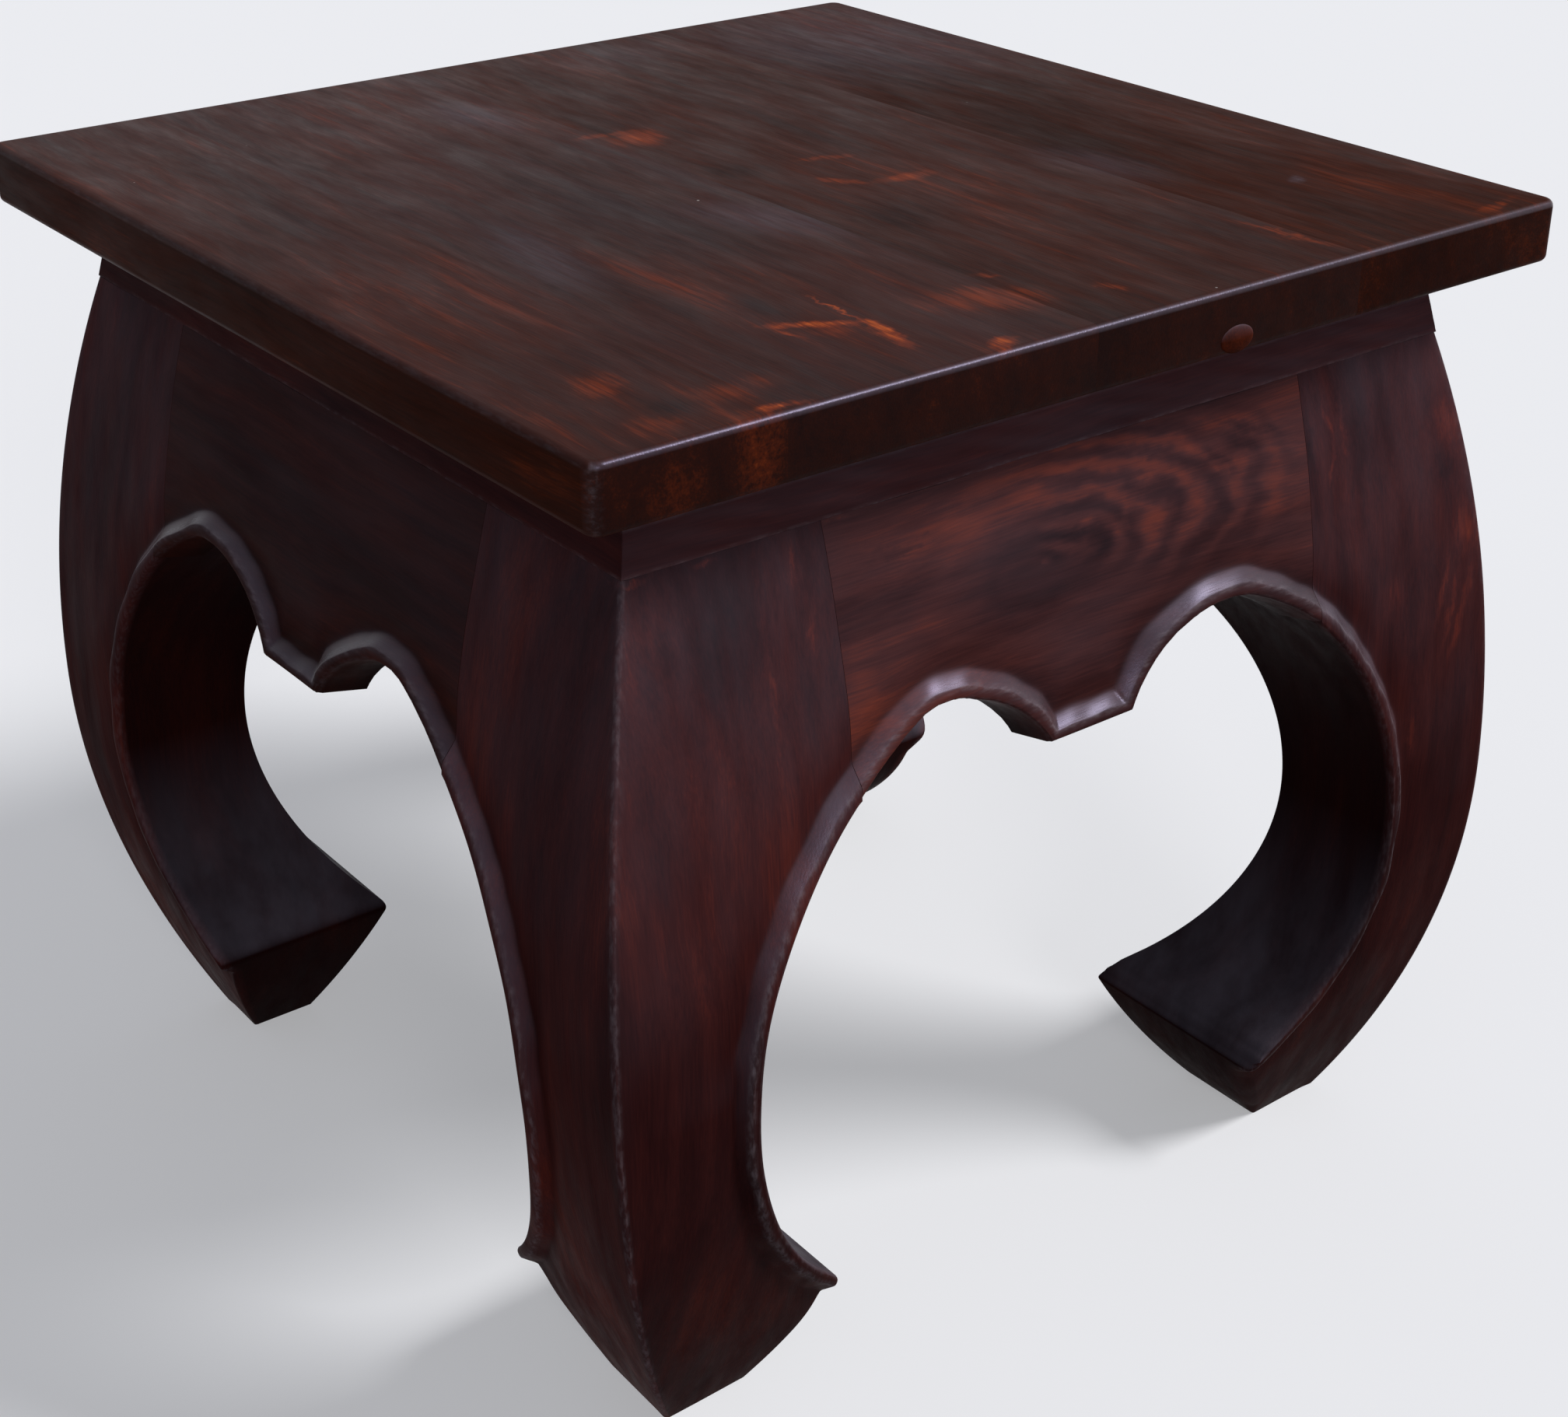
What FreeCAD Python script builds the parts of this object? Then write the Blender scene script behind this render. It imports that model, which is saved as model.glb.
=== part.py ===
import FreeCAD, Part
import os
import Sketcher

# Low square opium table of dark hardwood, in millimetres, standing on z = 0 with its centre on the Z axis.
# Four C-shaped legs and four arched aprons carry a collar of mitred rails, and the boards of the top lie on
# it. Every outline is drawn for the back side (+Y) and the back right corner (+X, +Y); the other sides and
# corners are the same pieces turned about Z.

doc = FreeCAD.newDocument("OpiumTable")

SIZES = {
    # top
    "table_height": 374,
    "top_width": 400,
    "top_thickness": 22,
    "top_corner_radius": 5,
    "top_arris_radius": 2.5,
    "first_board_width": 65,
    "second_board_width": 117,
    "third_board_width": 117,
    # collar between the top and the frame
    "collar_height": 27.5,
    "collar_depth": 40,
    "collar_shoulder_height": 14,
    "collar_shoulder_inset": 28.5,
    "collar_neck_inset": 35,
    "collar_cove_radius": 24,
    # outer face of legs and aprons; insets count from the edge of the top, drops and depths from the collar
    "frame_inset": 25.5,
    "bulge_inset": 0.5,
    "bulge_drop": 168.5,
    "sole_inset": 37,
    # legs
    "sole_length": 26.5,
    "toe_inset": 97.5,
    "toe_height": 45,
    "toe_cut_radius": 80,
    "leg_waist_inset": 53,
    "leg_waist_drop": 182.5,
    "seam_inset": 97,
    # aprons
    "apron_thickness": 21,
    "arch_depth": 65,
    "arch_peak_inset": 137,
    "crown_radius": 30,
    "pendant_width": 41,
    "pendant_depth": 91.5,
    # raised bead along the arches
    "bead_width": 9,
    "bead_rise": 3,
    "bead_root": 2,
    "bead_bevel_run": 5,
    "bead_bevel_drop": 2.7,
    # dowels between aprons and legs
    "dowel_radius": 4,
    "dowel_length": 40,
    "dowel_drop": 18,
    "dowel_pitch": 34,
    # dowels between collar and legs
    "collar_dowel_length": 30,
    "collar_dowel_run": 76,
    "collar_dowel_inset": 48,
    # screws that hold the top
    "screw_spread": 120,
    "screw_inset": 55.5,
    "screw_length": 38,
    "screw_shank_radius": 2,
    "screw_head_radius": 4,
    "screw_head_height": 3,
    # plug in the front edge of the top
    "plug_radius": 4.5,
    "plug_length": 12,
    "plug_drop": 15,
    "plug_offset": 43,
    # room round dowels, screws and plug
    "glue_gap": 0.1,
    "cut_overrun": 10,
}

sheet = doc.addObject("Spreadsheet::Sheet", "Sizes")
for row, (alias, length) in enumerate(SIZES.items(), start=1):
    sheet.set(f"A{row}", alias)
    sheet.set(f"B{row}", str(length))
    sheet.setAlias(f"B{row}", alias)
doc.recompute()

ZERO = "0"
TOUCH_SHARE = 1e-3
X_AXIS = FreeCAD.Vector(1, 0, 0)
Y_AXIS = FreeCAD.Vector(0, 1, 0)
Z_AXIS = FreeCAD.Vector(0, 0, 1)
FLAT = FreeCAD.Rotation()
FACING_BACK = FreeCAD.Rotation(X_AXIS, Z_AXIS, Y_AXIS, "XYZ")
FACING_RIGHT = FreeCAD.Rotation(Y_AXIS, Z_AXIS, X_AXIS, "XYZ")
ALONG_X = FreeCAD.Rotation(Z_AXIS, X_AXIS)
ALONG_Y = FreeCAD.Rotation(Z_AXIS, Y_AXIS)

# Places that follow from the sizes
HALF = "(Sizes.top_width / 2)"
TOP_UNDERSIDE = "(Sizes.table_height - Sizes.top_thickness)"
FRAME_HEIGHT = f"({TOP_UNDERSIDE} - Sizes.collar_height)"
SEAM = f"({HALF} - Sizes.seam_inset)"

# Outer face: two arcs that meet upright at the bulge
SWELL = "(Sizes.frame_inset - Sizes.bulge_inset)"
TUCK = "(Sizes.sole_inset - Sizes.bulge_inset)"
BULGE = f"({HALF} - Sizes.bulge_inset)"
BULGE_HEIGHT = f"({FRAME_HEIGHT} - Sizes.bulge_drop)"
UPPER_RADIUS = f"(({SWELL} ^ 2 + Sizes.bulge_drop ^ 2) / (2 * {SWELL}))"
LOWER_RADIUS = f"(({TUCK} ^ 2 + {BULGE_HEIGHT} ^ 2) / (2 * {TUCK}))"

# Arch: from the toe up to the waist of the leg, on to the crown, and down the shoulder to the pendant
WAIST = f"({HALF} - Sizes.leg_waist_inset)"
WAIST_HEIGHT = f"({FRAME_HEIGHT} - Sizes.leg_waist_drop)"
TOE_RUN = "(Sizes.toe_inset - Sizes.leg_waist_inset)"
TOE_RADIUS = f"(({TOE_RUN} ^ 2 + ({WAIST_HEIGHT} - Sizes.toe_height) ^ 2) / (2 * {TOE_RUN}))"
TOE_CENTRE = f"({WAIST} - {TOE_RADIUS})"
PEAK = f"({HALF} - Sizes.arch_peak_inset)"
PEAK_HEIGHT = f"({FRAME_HEIGHT} - Sizes.arch_depth)"
ARCH_RUN = f"({WAIST} - {PEAK})"
CROWN_LIFT = "(Sizes.leg_waist_drop - Sizes.arch_depth - Sizes.crown_radius)"
ARCH_RADIUS = (f"(({ARCH_RUN} ^ 2 + {CROWN_LIFT} ^ 2 - Sizes.crown_radius ^ 2)"
               f" / (2 * ({ARCH_RUN} - Sizes.crown_radius)))")
ARCH_CENTRE = f"({WAIST} - {ARCH_RADIUS})"
CROWN_REACH = f"({ARCH_RADIUS} - Sizes.crown_radius)"
CUSP_RUN = f"({PEAK} - Sizes.pendant_width / 2)"
CUSP_DROP = "(Sizes.pendant_depth - Sizes.arch_depth)"
SHOULDER_RADIUS = f"(({CUSP_RUN} ^ 2 + {CUSP_DROP} ^ 2) / (2 * {CUSP_DROP}))"
APRON_LIFT = "(Sizes.bulge_drop - Sizes.pendant_depth / 2)"


def value(expression):
    """Number that an expression over the sheet gives."""
    return float(sheet.evalExpression(expression))


def place(thing, rotation, x=ZERO, y=ZERO, z=ZERO):
    """Turn an object and bind its position to the sheet."""
    thing.Placement = FreeCAD.Placement(FreeCAD.Vector(value(x), value(y), value(z)), rotation)
    for axis, expression in (("x", x), ("y", y), ("z", z)):
        thing.setExpression(f"Placement.Base.{axis}", expression)


def hold_point(sketch, edge, end, across, up):
    """Bind one end of a sketch edge to its two coordinates."""
    for kind, axis, expression in (("DistanceX", -2, across), ("DistanceY", -1, up)):
        if expression == ZERO:
            sketch.addConstraint(Sketcher.Constraint("PointOnObject", edge, end, axis))
            continue
        rule = Sketcher.Constraint(kind, -1, 1, edge, end, value(expression))
        sketch.setExpression(f"Constraints[{sketch.addConstraint(rule)}]", expression)


def outline(name, corners, bends=None):
    """Closed sketch through corners (across, up); bends gives an edge's arc centre and radius."""
    bends = bends or {}
    sketch = doc.addObject("Sketcher::SketchObject", name)
    points = [FreeCAD.Vector(value(across), value(up), 0) for across, up in corners]
    ends = []
    for number, start in enumerate(points):
        finish = points[(number + 1) % len(points)]
        if number not in bends:
            edge = sketch.addGeometry(Part.LineSegment(start, finish))
            ends.append((edge, 1, 2))
            continue
        across, up, radius = bends[number]
        centre = FreeCAD.Vector(value(across), value(up), 0)
        clockwise = (start - centre).cross(finish - centre).z < 0
        first, last = (finish, start) if clockwise else (start, finish)
        angles = [X_AXIS.getAngle(end - centre) * (1 if end.y >= centre.y else -1) for end in (first, last)]
        circle = Part.Circle(centre, Z_AXIS, value(radius))
        edge = sketch.addGeometry(Part.ArcOfCircle(circle, *angles))
        ends.append((edge, 2, 1) if clockwise else (edge, 1, 2))
        rule = sketch.addConstraint(Sketcher.Constraint("Radius", edge, value(radius)))
        sketch.setExpression(f"Constraints[{rule}]", radius)
    for number, (edge, start, _) in enumerate(ends):
        before, _, finish = ends[number - 1]
        sketch.addConstraint(Sketcher.Constraint("Coincident", before, finish, edge, start))
        hold_point(sketch, edge, start, *corners[number])
    return sketch


def prism(name, sketch, direction, length, back=ZERO):
    """Solid that a closed sketch sweeps along a direction, and back from its plane."""
    solid = doc.addObject("Part::Extrusion", name)
    solid.Base = sketch
    solid.DirMode = "Custom"
    solid.Dir = direction
    solid.Solid = True
    solid.setExpression("LengthFwd", length)
    solid.setExpression("LengthRev", back)
    return solid


def join(kind, name, base, tool):
    """Cut, Common or Fuse of two objects."""
    result = doc.addObject(f"Part::{kind}", name)
    result.Base = base
    result.Tool = tool
    result.Refine = True
    return result


def corner_mirror(name, source):
    """The same shape on the other face of the corner, mirrored in the upright plane x = y."""
    mirrored = doc.addObject("Part::Mirroring", name)
    mirrored.Source = source
    mirrored.Normal = X_AXIS - Y_AXIS
    return mirrored


def group(name, members):
    """Several solids as one object."""
    bundle = doc.addObject("Part::Compound", name)
    bundle.Links = members
    return bundle


def rod(name, radius, height, rotation, x, y, z):
    """Round bar that starts at a point and runs along its turned axis."""
    bar = doc.addObject("Part::Cylinder", name)
    bar.setExpression("Radius", radius)
    bar.setExpression("Height", height)
    place(bar, rotation, x, y, z)
    return bar


def quarter_turn(count):
    """Placement turned about Z by a number of right angles."""
    right_angle = 90
    return FreeCAD.Placement(FreeCAD.Vector(), FreeCAD.Rotation(Z_AXIS, right_angle * count))


def turned_group(name, members):
    """The members of one side, repeated on all four sides."""
    side = group(f"{name}_side", members)
    turns = []
    for count in range(4):
        turn = group(f"{name}_turn_{count}", [side])
        turn.Placement = quarter_turn(count)
        turns.append(turn)
    return group(name, turns)


def face_band(name, proud, depth):
    """Layer between the outer face moved out by proud and moved in by depth, from floor to collar."""
    def shifted(inset, move):
        return f"({HALF} - {inset} + {move})"

    inward = f"(-({depth}))"
    corners = [
        (shifted("Sizes.sole_inset", proud), ZERO),
        (shifted("Sizes.bulge_inset", proud), BULGE_HEIGHT),
        (shifted("Sizes.frame_inset", proud), FRAME_HEIGHT),
        (shifted("Sizes.frame_inset", inward), FRAME_HEIGHT),
        (shifted("Sizes.bulge_inset", inward), BULGE_HEIGHT),
        (shifted("Sizes.sole_inset", inward), ZERO),
    ]
    bends = {}
    for edge, move, radius in (
        (0, proud, LOWER_RADIUS),
        (1, proud, UPPER_RADIUS),
        (3, inward, UPPER_RADIUS),
        (4, inward, LOWER_RADIUS),
    ):
        bends[edge] = (f"({BULGE} + {move} - {radius})", BULGE_HEIGHT, radius)
    sketch = outline(f"{name}_section", corners, bends)
    place(sketch, FACING_RIGHT, f"-{HALF}")
    return prism(name, sketch, X_AXIS, "Sizes.top_width")


def bevelled(name, bead, wall):
    """Bead with its field-side edge, where its face meets the given wall, bevelled off."""
    doc.recompute()
    run, drop = value("Sizes.bead_bevel_run"), value("Sizes.bead_bevel_drop")
    touching = TOUCH_SHARE * drop
    facing_share = 0.5
    chosen = []
    for number, edge in enumerate(bead.Shape.Edges, start=1):
        middle = edge.valueAt((edge.FirstParameter + edge.LastParameter) / 2)
        on_wall = wall.Shape.distToShape(Part.Vertex(middle))[0] < touching
        on_face = abs(middle.y - face_distance(middle.z, "Sizes.bead_rise")) < touching
        if on_wall and on_face:
            side = bead.Shape.ancestorsOfType(edge, Part.Face)[0]
            is_wall = abs(side.normalAt(*side.Surface.parameter(middle)).y) < facing_share
            chosen.append((number, drop, run) if is_wall else (number, run, drop))
    bevel = doc.addObject("Part::Chamfer", name)
    bevel.Base = bead
    bevel.Edges = chosen
    return bevel


def face_distance(height, proud):
    """How far the outer face lies from the centre plane at a height, moved out by proud."""
    away = height - value(BULGE_HEIGHT)
    radius = value(UPPER_RADIUS if away > 0 else LOWER_RADIUS)
    return value(f"{BULGE} + {proud}") - radius + (radius ** 2 - away ** 2) ** 0.5


def inset_at(height):
    """Expression for the inset of the outer face above the bulge, at a height."""
    lift = f"({height} - {BULGE_HEIGHT})"
    return f"(Sizes.bulge_inset + {UPPER_RADIUS} - sqrt({UPPER_RADIUS} ^ 2 - {lift} ^ 2))"


# Joinery that several pieces share
DOWEL_HEIGHTS = [f"({FRAME_HEIGHT} - Sizes.dowel_drop - {count} * Sizes.dowel_pitch)" for count in range(2)]


def apron_dowels_at(name, gap, end_signs):
    """Bars across the seam at the given ends of the back apron."""
    bars = []
    for sign in end_signs:
        for count, height in enumerate(DOWEL_HEIGHTS):
            start = f"({sign} * {SEAM} - Sizes.dowel_length / 2 - {gap})"
            depth = f"({HALF} - {inset_at(height)} - Sizes.apron_thickness / 2)"
            side = "right" if sign > 0 else "left"
            bars.append(rod(f"{name}_{side}_{count}", f"Sizes.dowel_radius + {gap}",
                            f"Sizes.dowel_length + 2 * {gap}", ALONG_X, start, depth, height))
    return bars


def collar_dowels_at(name, gap, end_signs):
    """Upright bars from the legs into the back rail."""
    bars = []
    for sign in end_signs:
        side = "right" if sign > 0 else "left"
        start = (f"({sign} * ({HALF} - Sizes.collar_dowel_run))", f"({HALF} - Sizes.collar_dowel_inset)",
                 f"({FRAME_HEIGHT} - Sizes.collar_dowel_length / 2 - {gap})")
        bars.append(rod(f"{name}_{side}", f"Sizes.dowel_radius + {gap}",
                        f"Sizes.collar_dowel_length + 2 * {gap}", FLAT, *start))
    return bars


def screws_at(name, gap):
    """Countersunk screws through the back rail, point upwards."""
    screws = []
    for sign in (-1, 1):
        side = "right" if sign > 0 else "left"
        where = (f"({sign} * Sizes.screw_spread / 2)", f"({HALF} - Sizes.screw_inset)")
        shank = rod(f"{name}_shank_{side}", f"Sizes.screw_shank_radius + {gap}",
                    f"Sizes.screw_length + {gap}", FLAT, *where, FRAME_HEIGHT)
        head = doc.addObject("Part::Cone", f"{name}_head_{side}")
        head.setExpression("Radius1", f"Sizes.screw_head_radius + {gap}")
        head.setExpression("Radius2", f"Sizes.screw_shank_radius + {gap}")
        head.setExpression("Height", "Sizes.screw_head_height")
        place(head, FLAT, *where, FRAME_HEIGHT)
        screws.append(join("Fuse", f"{name}_{side}", shank, head))
    return screws


GAP = "Sizes.glue_gap"
BOTH_ENDS = (-1, 1)
pieces = []


def keep(piece, label):
    """Name a finished piece."""
    piece.Label = label
    pieces.append(piece)
    return piece


# Legs
def arch_height(across, grow):
    """Height of the arch over a point of the back side, with its edge drawn back by grow."""
    return f"({WAIST_HEIGHT} + sqrt(({ARCH_RADIUS} + {grow}) ^ 2 - ({across} - {ARCH_CENTRE}) ^ 2))"


sole_end = (f"({HALF} - Sizes.sole_inset - Sizes.sole_length)", ZERO)
toe_tip = (f"({HALF} - Sizes.toe_inset)", "Sizes.toe_height")
cut_run = f"({sole_end[0]} - {toe_tip[0]})"
cut_length = f"sqrt({cut_run} ^ 2 + Sizes.toe_height ^ 2)"
cut_reach = f"(sqrt(Sizes.toe_cut_radius ^ 2 - {cut_length} ^ 2 / 4) / {cut_length})"
leg_corners = [
    (f"({HALF} - Sizes.frame_inset)", FRAME_HEIGHT),
    (BULGE, BULGE_HEIGHT),
    (f"({HALF} - Sizes.sole_inset)", ZERO),
    sole_end,
    toe_tip,
    (WAIST, WAIST_HEIGHT),
    (SEAM, arch_height(SEAM, ZERO)),
    (SEAM, FRAME_HEIGHT),
]
leg_bends = {
    0: (f"({BULGE} - {UPPER_RADIUS})", BULGE_HEIGHT, UPPER_RADIUS),
    1: (f"({BULGE} - {LOWER_RADIUS})", BULGE_HEIGHT, LOWER_RADIUS),
    3: (f"(({sole_end[0]} + {toe_tip[0]}) / 2 + {cut_reach} * Sizes.toe_height)",
        f"(Sizes.toe_height / 2 + {cut_reach} * {cut_run})", "Sizes.toe_cut_radius"),
    4: (TOE_CENTRE, WAIST_HEIGHT, TOE_RADIUS),
    5: (ARCH_CENTRE, WAIST_HEIGHT, ARCH_RADIUS),
}
leg_profile = outline("leg_profile", leg_corners, leg_bends)
place(leg_profile, FACING_BACK)
leg_slab = prism("leg_slab", leg_profile, Y_AXIS, f"{HALF} + Sizes.cut_overrun")
leg_core = join("Common", "leg_core", leg_slab, corner_mirror("leg_slab_across", leg_slab))

# Bead of the leg: the strip between its arched edge and the field, which lies inside by the bead's width
# and runs on past the toe by twice that width
field_toe_radius = f"({TOE_RADIUS} + Sizes.bead_width)"
past_toe = f"(2 * Sizes.bead_width / {TOE_RADIUS})"
toe_share = f"({field_toe_radius} / sqrt({TOE_RADIUS} ^ 2 + 4 * Sizes.bead_width ^ 2))"
toe_across, toe_drop = f"({TOE_RADIUS} - {TOE_RUN})", f"({WAIST_HEIGHT} - Sizes.toe_height)"
field_toe = f"({TOE_CENTRE} + {toe_share} * ({toe_across} - {past_toe} * {toe_drop}))"
field_toe_height = f"({WAIST_HEIGHT} - {toe_share} * ({toe_drop} + {past_toe} * {toe_across}))"
beyond_face = f"({HALF} + Sizes.cut_overrun)"
field_corners = [
    (SEAM, FRAME_HEIGHT),
    (beyond_face, FRAME_HEIGHT),
    (beyond_face, ZERO),
    (field_toe, ZERO),
    (field_toe, field_toe_height),
    (f"({WAIST} + Sizes.bead_width)", WAIST_HEIGHT),
    (SEAM, arch_height(SEAM, "Sizes.bead_width")),
]
field_bends = {
    4: (TOE_CENTRE, WAIST_HEIGHT, field_toe_radius),
    5: (ARCH_CENTRE, WAIST_HEIGHT, f"({ARCH_RADIUS} + Sizes.bead_width)"),
}
field_profile = outline("leg_field_profile", field_corners, field_bends)
place(field_profile, FACING_BACK)
leg_field = prism("leg_field", field_profile, Y_AXIS, f"{HALF} + Sizes.cut_overrun")
bead_band = face_band("bead_band", "Sizes.bead_rise", "Sizes.bead_root")
leg_strip = join("Cut", "leg_bead_strip", leg_slab, leg_field)
leg_bead = bevelled("leg_bead", join("Common", "leg_bead_square", leg_strip, bead_band), leg_field)
leg_beads = join("Fuse", "leg_beads", leg_bead, corner_mirror("leg_bead_across", leg_bead))
leg_blank = join("Fuse", "leg_blank", leg_core, leg_beads)
leg_side_holes = group("leg_side_holes", apron_dowels_at("leg_bore", GAP, (1,))
                       + collar_dowels_at("leg_collar_bore", GAP, (1,)))
leg_holes = group("leg_holes", [leg_side_holes, corner_mirror("leg_holes_across", leg_side_holes)])
for count, corner in enumerate(("back_right", "back_left", "front_left", "front_right")):
    leg = keep(join("Cut", f"leg_{corner}", leg_blank, leg_holes), f"leg_{corner}")
    leg.Placement = quarter_turn(count)


# Aprons
def apron_outline(name, grow):
    """Apron seen from outside, sawn square to its leaning face, with its arched edge drawn back by grow."""
    arch, crown = f"({ARCH_RADIUS} + {grow})", f"(Sizes.crown_radius + {grow})"
    shoulder = f"({SHOULDER_RADIUS} + {grow})"
    shoulder_height = f"({PEAK_HEIGHT} - {SHOULDER_RADIUS})"
    crown_height = f"({PEAK_HEIGHT} - Sizes.crown_radius)"
    flat_height = f"({FRAME_HEIGHT} - Sizes.pendant_depth + {grow})"
    cusp = f"({PEAK} - sqrt({shoulder} ^ 2 - ({flat_height} - {shoulder_height}) ^ 2))"
    half_edge = [
        (SEAM, f"({FRAME_HEIGHT} + Sizes.apron_thickness)"),
        (SEAM, arch_height(SEAM, grow)),
        (f"({ARCH_CENTRE} + {arch} * ({PEAK} - {ARCH_CENTRE}) / {CROWN_REACH})",
         f"({WAIST_HEIGHT} + {arch} * {CROWN_LIFT} / {CROWN_REACH})"),
        (PEAK, f"({PEAK_HEIGHT} + {grow})"),
        (cusp, flat_height),
    ]
    arcs = {
        1: (ARCH_CENTRE, WAIST_HEIGHT, arch),
        2: (PEAK, crown_height, crown),
        3: (PEAK, shoulder_height, shoulder),
    }
    count = len(half_edge)
    corners = [(f"({HALF} + {across})", up) for across, up in half_edge]
    corners += [(f"({HALF} - {across})", up) for across, up in reversed(half_edge)]
    bends = {}
    for edge, (across, up, radius) in arcs.items():
        bends[edge] = (f"({HALF} + {across})", up, radius)
        bends[2 * (count - 1) - edge] = (f"({HALF} - {across})", up, radius)
    sketch = outline(f"{name}_edge", corners, bends)
    place(sketch, FACING_BACK, f"-{HALF}", f"({HALF} - {inset_at(arch_height(SEAM, ZERO))})")
    sawn = prism(name, sketch, Y_AXIS, "Sizes.cut_overrun", f"Sizes.apron_thickness + {SWELL}")
    sawn.setExpression("Dir.y", f"sqrt({UPPER_RADIUS} ^ 2 - {APRON_LIFT} ^ 2) / {UPPER_RADIUS}")
    sawn.setExpression("Dir.z", f"{APRON_LIFT} / {UPPER_RADIUS}")
    return sawn


apron_shape = apron_outline("apron_shape", ZERO)
apron_field = apron_outline("apron_field", "Sizes.bead_width")
apron_plank = face_band("apron_plank", ZERO, "Sizes.apron_thickness")
apron_core = join("Common", "apron_core", apron_plank, apron_shape)
apron_strip = join("Cut", "apron_bead_strip", apron_shape, apron_field)
apron_bead = bevelled("apron_bead", join("Common", "apron_bead_square", apron_strip, bead_band), apron_field)
apron_blank = join("Fuse", "apron_blank", apron_core, apron_bead)
apron_holes = group("apron_holes", apron_dowels_at("apron_bore", GAP, BOTH_ENDS))
for count, side in enumerate(("back", "left", "front", "right")):
    apron = keep(join("Cut", f"apron_{side}", apron_blank, apron_holes), f"apron_{side}")
    apron.Placement = quarter_turn(count)

# Collar rails
collar_foot = f"({HALF} - Sizes.frame_inset)"
collar_back = f"({collar_foot} - Sizes.collar_depth)"
collar_shoulder = (f"({HALF} - Sizes.collar_shoulder_inset)",
                   f"({FRAME_HEIGHT} + Sizes.collar_shoulder_height)")
collar_neck = (f"({HALF} - Sizes.collar_neck_inset)", TOP_UNDERSIDE)
cove_run = "(Sizes.collar_neck_inset - Sizes.collar_shoulder_inset)"
cove_rise = "(Sizes.collar_height - Sizes.collar_shoulder_height)"
cove_length = f"sqrt({cove_run} ^ 2 + {cove_rise} ^ 2)"
cove_reach = f"(sqrt(Sizes.collar_cove_radius ^ 2 - {cove_length} ^ 2 / 4) / {cove_length})"
collar_corners = [
    (collar_foot, FRAME_HEIGHT),
    collar_shoulder,
    collar_neck,
    (collar_back, TOP_UNDERSIDE),
    (collar_back, FRAME_HEIGHT),
]
collar_bends = {
    1: (f"(({collar_shoulder[0]} + {collar_neck[0]}) / 2 + {cove_reach} * {cove_rise})",
        f"(({collar_shoulder[1]} + {collar_neck[1]}) / 2 + {cove_reach} * {cove_run})",
        "Sizes.collar_cove_radius"),
}
collar_section = outline("collar_section", collar_corners, collar_bends)
place(collar_section, FACING_RIGHT, f"-{HALF}")
collar_bar = prism("collar_bar", collar_section, X_AXIS, "Sizes.top_width")
mitre_plan = outline("mitre_plan", [(HALF, ZERO), ("Sizes.top_width", HALF), (ZERO, HALF)])
place(mitre_plan, FLAT, f"-{HALF}")
mitre_wedge = prism("mitre_wedge", mitre_plan, Z_AXIS, "Sizes.table_height")
collar_blank = join("Common", "collar_blank", collar_bar, mitre_wedge)
collar_holes = group("collar_holes", collar_dowels_at("collar_bore", GAP, BOTH_ENDS)
                     + screws_at("collar_sink", GAP))
for count, side in enumerate(("back", "left", "front", "right")):
    rail = keep(join("Cut", f"collar_rail_{side}", collar_blank, collar_holes), f"collar_rail_{side}")
    rail.Placement = quarter_turn(count)

# Top boards
slab = doc.addObject("PartDesign::Body", "top_slab")
slab_plan = slab.newObject("Sketcher::SketchObject", "top_plan")
floor_plane = next(plane for plane in slab.Origin.OriginFeatures if plane.Role == "XY_Plane")
slab_plan.AttachmentSupport = [(floor_plane, "")]
slab_plan.MapMode = "FlatFace"
plan_corners = [(-1, -1), (1, -1), (1, 1), (-1, 1)]
plan_points = [FreeCAD.Vector(x, y, 0) * value(HALF) for x, y in plan_corners]
for number, start in enumerate(plan_points):
    slab_plan.addGeometry(Part.LineSegment(start, plan_points[(number + 1) % len(plan_points)]))
for number in range(len(plan_points)):
    following = (number + 1) % len(plan_points)
    slab_plan.addConstraint(Sketcher.Constraint("Coincident", number, 2, following, 1))
    slab_plan.addConstraint(Sketcher.Constraint("Horizontal" if number % 2 == 0 else "Vertical", number))
slab_plan.addConstraint(Sketcher.Constraint("Symmetric", 0, 1, 2, 1, -1, 1))
for number in range(2):
    rule = slab_plan.addConstraint(Sketcher.Constraint("Distance", number, value("Sizes.top_width")))
    slab_plan.setExpression(f"Constraints[{rule}]", "Sizes.top_width")
slab_pad = slab.newObject("PartDesign::Pad", "top_pad")
slab_pad.Profile = slab_plan
slab_pad.setExpression("Length", "Sizes.top_thickness")
doc.recompute()


def edges_where(shape, test):
    """Names of the edges of a shape whose box passes a test."""
    return [f"Edge{number}" for number, edge in enumerate(shape.Edges, start=1) if test(edge.BoundBox)]


level = TOUCH_SHARE * value("Sizes.top_thickness")
slab_corners = slab.newObject("PartDesign::Fillet", "top_corners")
slab_corners.Base = (slab_pad, edges_where(slab_pad.Shape, lambda box: box.ZLength > level))
slab_corners.setExpression("Radius", "Sizes.top_corner_radius")
doc.recompute()
slab_arrises = slab.newObject("PartDesign::Fillet", "top_arrises")
slab_arrises.Base = (slab_corners, edges_where(slab_corners.Shape, lambda box: box.ZLength < level))
slab_arrises.setExpression("Radius", "Sizes.top_arris_radius")
place(slab, FLAT, z=TOP_UNDERSIDE)

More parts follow.
